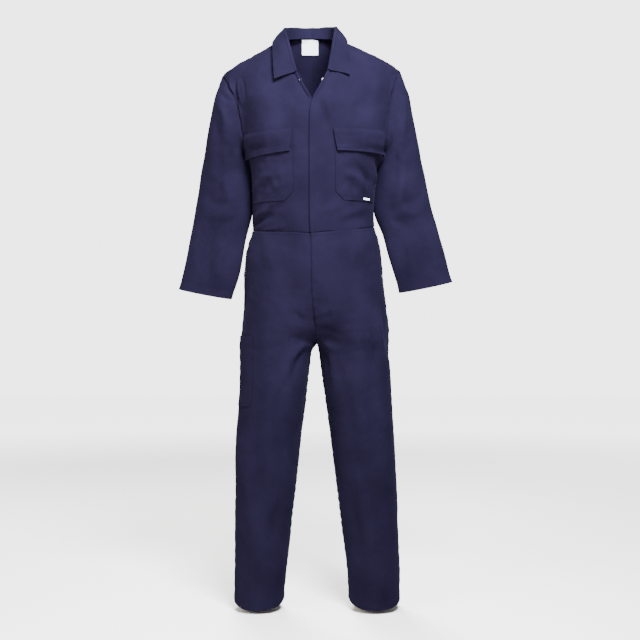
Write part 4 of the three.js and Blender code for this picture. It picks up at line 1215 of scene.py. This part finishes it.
def label_sheet():
    v, u = np.meshgrid(np.linspace(0, 1, 16), np.linspace(0, 1, 18), indexing="ij")
    x = LABEL_MIDDLE + LABEL_WIDTH * (u - 0.5)
    z = LABEL_TOP - LABEL_HEIGHT * v
    out = np.zeros(x.shape + (3,))
    for side in (RIGHT, LEFT):
        pick = (x < 0) == (side == RIGHT)
        s, t = place_on("back", side, np.abs(x[pick]), np.minimum(z[pick], 36))
        p = plain("back", side, s, t)
        p[:, 0], p[:, 2] = x[pick], z[pick]
        lift = -(CLOTH + LABEL_GAP + 0.5 * np.sin(5 * u[pick]) * v[pick])
        out[pick] = p + plain_normal("back", side, s, t) * lift[:, None]
    for row in out:
        row[:, 1] = np.polyval(np.polyfit(row[:, 0], row[:, 1], 2), row[:, 0]) - 0.6
    return Sheet(out, trunk_core)


lay("neck_label_tape", label_sheet(), "neck_label", THICK["label"],
    slot="label_tape")

# Stitch rows.
COLLAR_ROW, FACING_ROW = 6.0, 3.0
for word in WORD.values():
    sew(f"trouser_front_{word}", "start", BAND_ROWS)
    sew(f"trouser_back_{word}", "start", BAND_ROWS)
    sew(f"front_{word}", "start", BAND_ROWS[:1])
    sew(f"trouser_front_{word}", "end", [HEM_ROW])
    sew(f"trouser_back_{word}", "end", [HEM_ROW])
    sew(f"trouser_back_{word}", "out", BAND_ROWS)
    sew(f"sleeve_{word}", "end", [HEM_ROW])
sew("trouser_back_left", "in", BAND_ROWS)
sew("trouser_front_left", "in", BAND_ROWS[:1], last=0.33)
stitch_object("trouser_stitches")

for word in WORD.values():
    sew(f"front_{word}", "out", BAND_ROWS, 1 - len(front_up) / len(FRONT_T))
    sew(f"back_{word}", "out end", BAND_ROWS)
    sew(f"pocket_{word}", "in out end", POCKET_ROWS)
    sew(f"flap_{word}", "start", [POCKET_ROWS[0], FLAP_TOP_ROW])
    sew(f"flap_{word}", "in out end", [FLAP_ROW])
    sew(f"facing_{word}", "in", [FACING_ROW])
sew("rule", "in out start end", POCKET_ROWS)
sew("collar", "out", [COLLAR_ROW], 0.03, 0.97)
sew("collar", "start end", [COLLAR_ROW], 0.4, 0.95)
stitch_object("bodice_stitches")


def row_on(kind, places):
    """A line on the left panel of a kind through places seen at x, z."""
    places = np.array(places, float)
    run = run_length(places)
    fine = np.linspace(0, run[-1], int(run[-1] / 4))
    x, z = [np.interp(fine, run, places[:, k]) for k in (0, 1)]
    s, t = place_on(kind, LEFT, x, z)
    return surface(kind, LEFT, s, t), plain_normal(kind, LEFT, s, t)


# The closing: two rows down the left front and the fly, where they turn to the centre line.
ROW_SHIFTS = (0, 6)
for shift in ROW_SHIFTS:
    stitch_row(*row_on("trousers", [
        (24 + shift, -548), (25 + shift, -640), (29 + shift, -700), (30 + shift, -730),
        (27 + shift * 0.8, -752 - shift * 0.5), (18, -768 - shift), (10, -774 - shift)]))
for shift in ROW_SHIFTS:
    stitch_row(*row_on("front", [(30 + shift, -540), (27 + shift, -420), (27 + shift, -300),
                                 (26 + shift, -200), (30 + shift, -176)]))
stitch_object("fly_stitches")

# Press stud: a socket on the right front's edge and the cap's back on the left one. Each profile
# is radius and height, from the cloth up.
STUD_SIDES = 40
SOCKET_AT, SOCKET_LIFT = (30, -124), 1.6
CAP_AT, CAP_LIFT = (33, -121), -3.9
SOCKET = [(4.0, 0), (4.0, 0.7), (3.6, 1.1), (2.5, 1.1), (2.2, 0.9), (1.9, 0.3), (0.5, 0.3)]
CAP = [(5.2, 0), (5.2, 0.6), (4.6, 1.0), (2.6, 1.0), (2.3, 1.6), (1.9, 1.9), (0.3, 2.0)]


def stud(name, side, place, profile, lift, metal):
    s, t = place_on("front", side, *[np.array([float(v)]) for v in place])
    n = plain_normal("front", side, s, t)[0]
    foot = surface("front", side, s, t)[0] + n * lift
    a = unit(np.cross(n, [0, 0, 1.0]))
    b = np.cross(n, a)
    turns = 2 * math.pi * np.arange(STUD_SIDES) / STUD_SIDES
    ring = a * np.cos(turns)[:, None] + b * np.sin(turns)[:, None]
    points = np.concatenate([foot + n * h + ring * r for r, h in profile])
    low, high = np.arange(STUD_SIDES), np.arange(STUD_SIDES) + (len(profile) - 1) * STUD_SIDES
    faces = [low[::-1].tolist(), high.tolist()]
    for k in range(len(profile) - 1):
        here = low + k * STUD_SIDES
        there = np.roll(here, -1)
        faces += np.stack([here, there, there + STUD_SIDES, here + STUD_SIDES], 1).tolist()
    obj = add_shape(name + "_ring", points, faces, metal, METAL_CORNER)
    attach(obj, "root")
    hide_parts(name)


# the socket's darker steel is painted shade, the same steel as the cap's in shadow
stud("stud_socket", RIGHT, SOCKET_AT, SOCKET, SOCKET_LIFT, SHADED_STEEL)
stud("stud_cap", LEFT, CAP_AT, CAP, CAP_LIFT, METAL)

# Stage, light and camera.

FLOOR_Z, FLOOR_HALF = -1612, 9000  # just below the leg hems


def floor():
    """A white floor whose far parts are lit as the wall is."""
    material, tree, shader = new_material("floor_white")
    away = tree.nodes.new("ShaderNodeVectorMath")
    away.operation = "LENGTH"
    tree.links.new(on_object(tree), away.inputs[0])
    glow = new_node(tree, "ShaderNodeMapRange", Value=away.outputs["Value"], From_Min=2.0,
                    From_Max=5.5, To_Max=3.2)
    feed(shader, Base_Color=(0.93, 0.93, 0.93, 1), Roughness=0.9, Emission_Color=(1, 1, 1, 1),
         Emission_Strength=glow.outputs["Result"])
    corners = [(i * FLOOR_HALF, j * FLOOR_HALF, FLOOR_Z) for i, j in ((-1, -1), (1, -1), (1, 1), (-1, 1))]
    add_shape("floor", corners, [(0, 1, 2, 3)], material)


def area_light(name, place, target, power, size, colour=(1, 1, 1)):
    light = bpy.data.lights.new(name, "AREA")
    light.energy = power
    light.size = size
    light.color = colour
    obj = add_object(name, light)
    obj.location = place
    obj.rotation_euler = (Vector(target) - Vector(place)).to_track_quat("-Z", "Y").to_euler()


def studio():
    """The room is seen brighter than it lights the cloth, as a lit studio wall behind is."""
    world = bpy.data.worlds.new("studio")
    world.use_nodes = True
    tree = world.node_tree
    room = feed(tree.nodes["Background"], Color=(1, 0.96, 0.88, 1), Strength=0.4)
    wall = new_node(tree, "ShaderNodeBackground", Color=(1, 1, 1, 1), Strength=3.8)
    seen = tree.nodes.new("ShaderNodeLightPath").outputs["Is Camera Ray"]
    pick = new_node(tree, "ShaderNodeMixShader", Fac=seen)
    tree.links.new(room.outputs["Background"], pick.inputs[1])
    tree.links.new(wall.outputs["Background"], pick.inputs[2])
    feed(tree.nodes["World Output"], Surface=pick.outputs["Shader"])
    bpy.context.scene.world = world


floor()
area_light("key", (0.4, -1.5, 0.8), (0, 0, -0.2), 305, 0.7, (0.90, 0.91, 1.0))
area_light("fill", (-1.4, -1.6, -0.2), (0, 0, -0.7), 46, 1.0, (1.0, 0.94, 0.8))
area_light("top", (0.2, -0.3, 2.4), (0, 0, -0.2), 60, 1.6)
area_light("behind", (-0.5, 2.0, 0.9), (0, 0, -0.3), 240, 1.0)
studio()

CAMERA_AWAY, VIEW_WIDTH, SENSOR = 3.2, 1.8368, 36
camera_data = bpy.data.cameras.new("camera")
camera_data.sensor_width = SENSOR
camera_data.lens = SENSOR * CAMERA_AWAY / VIEW_WIDTH
camera = add_object("camera", camera_data)
camera.location = (0.0244, -CAMERA_AWAY, -0.786)
camera.rotation_euler = (math.pi / 2, 0, 0)
bpy.context.scene.camera = camera
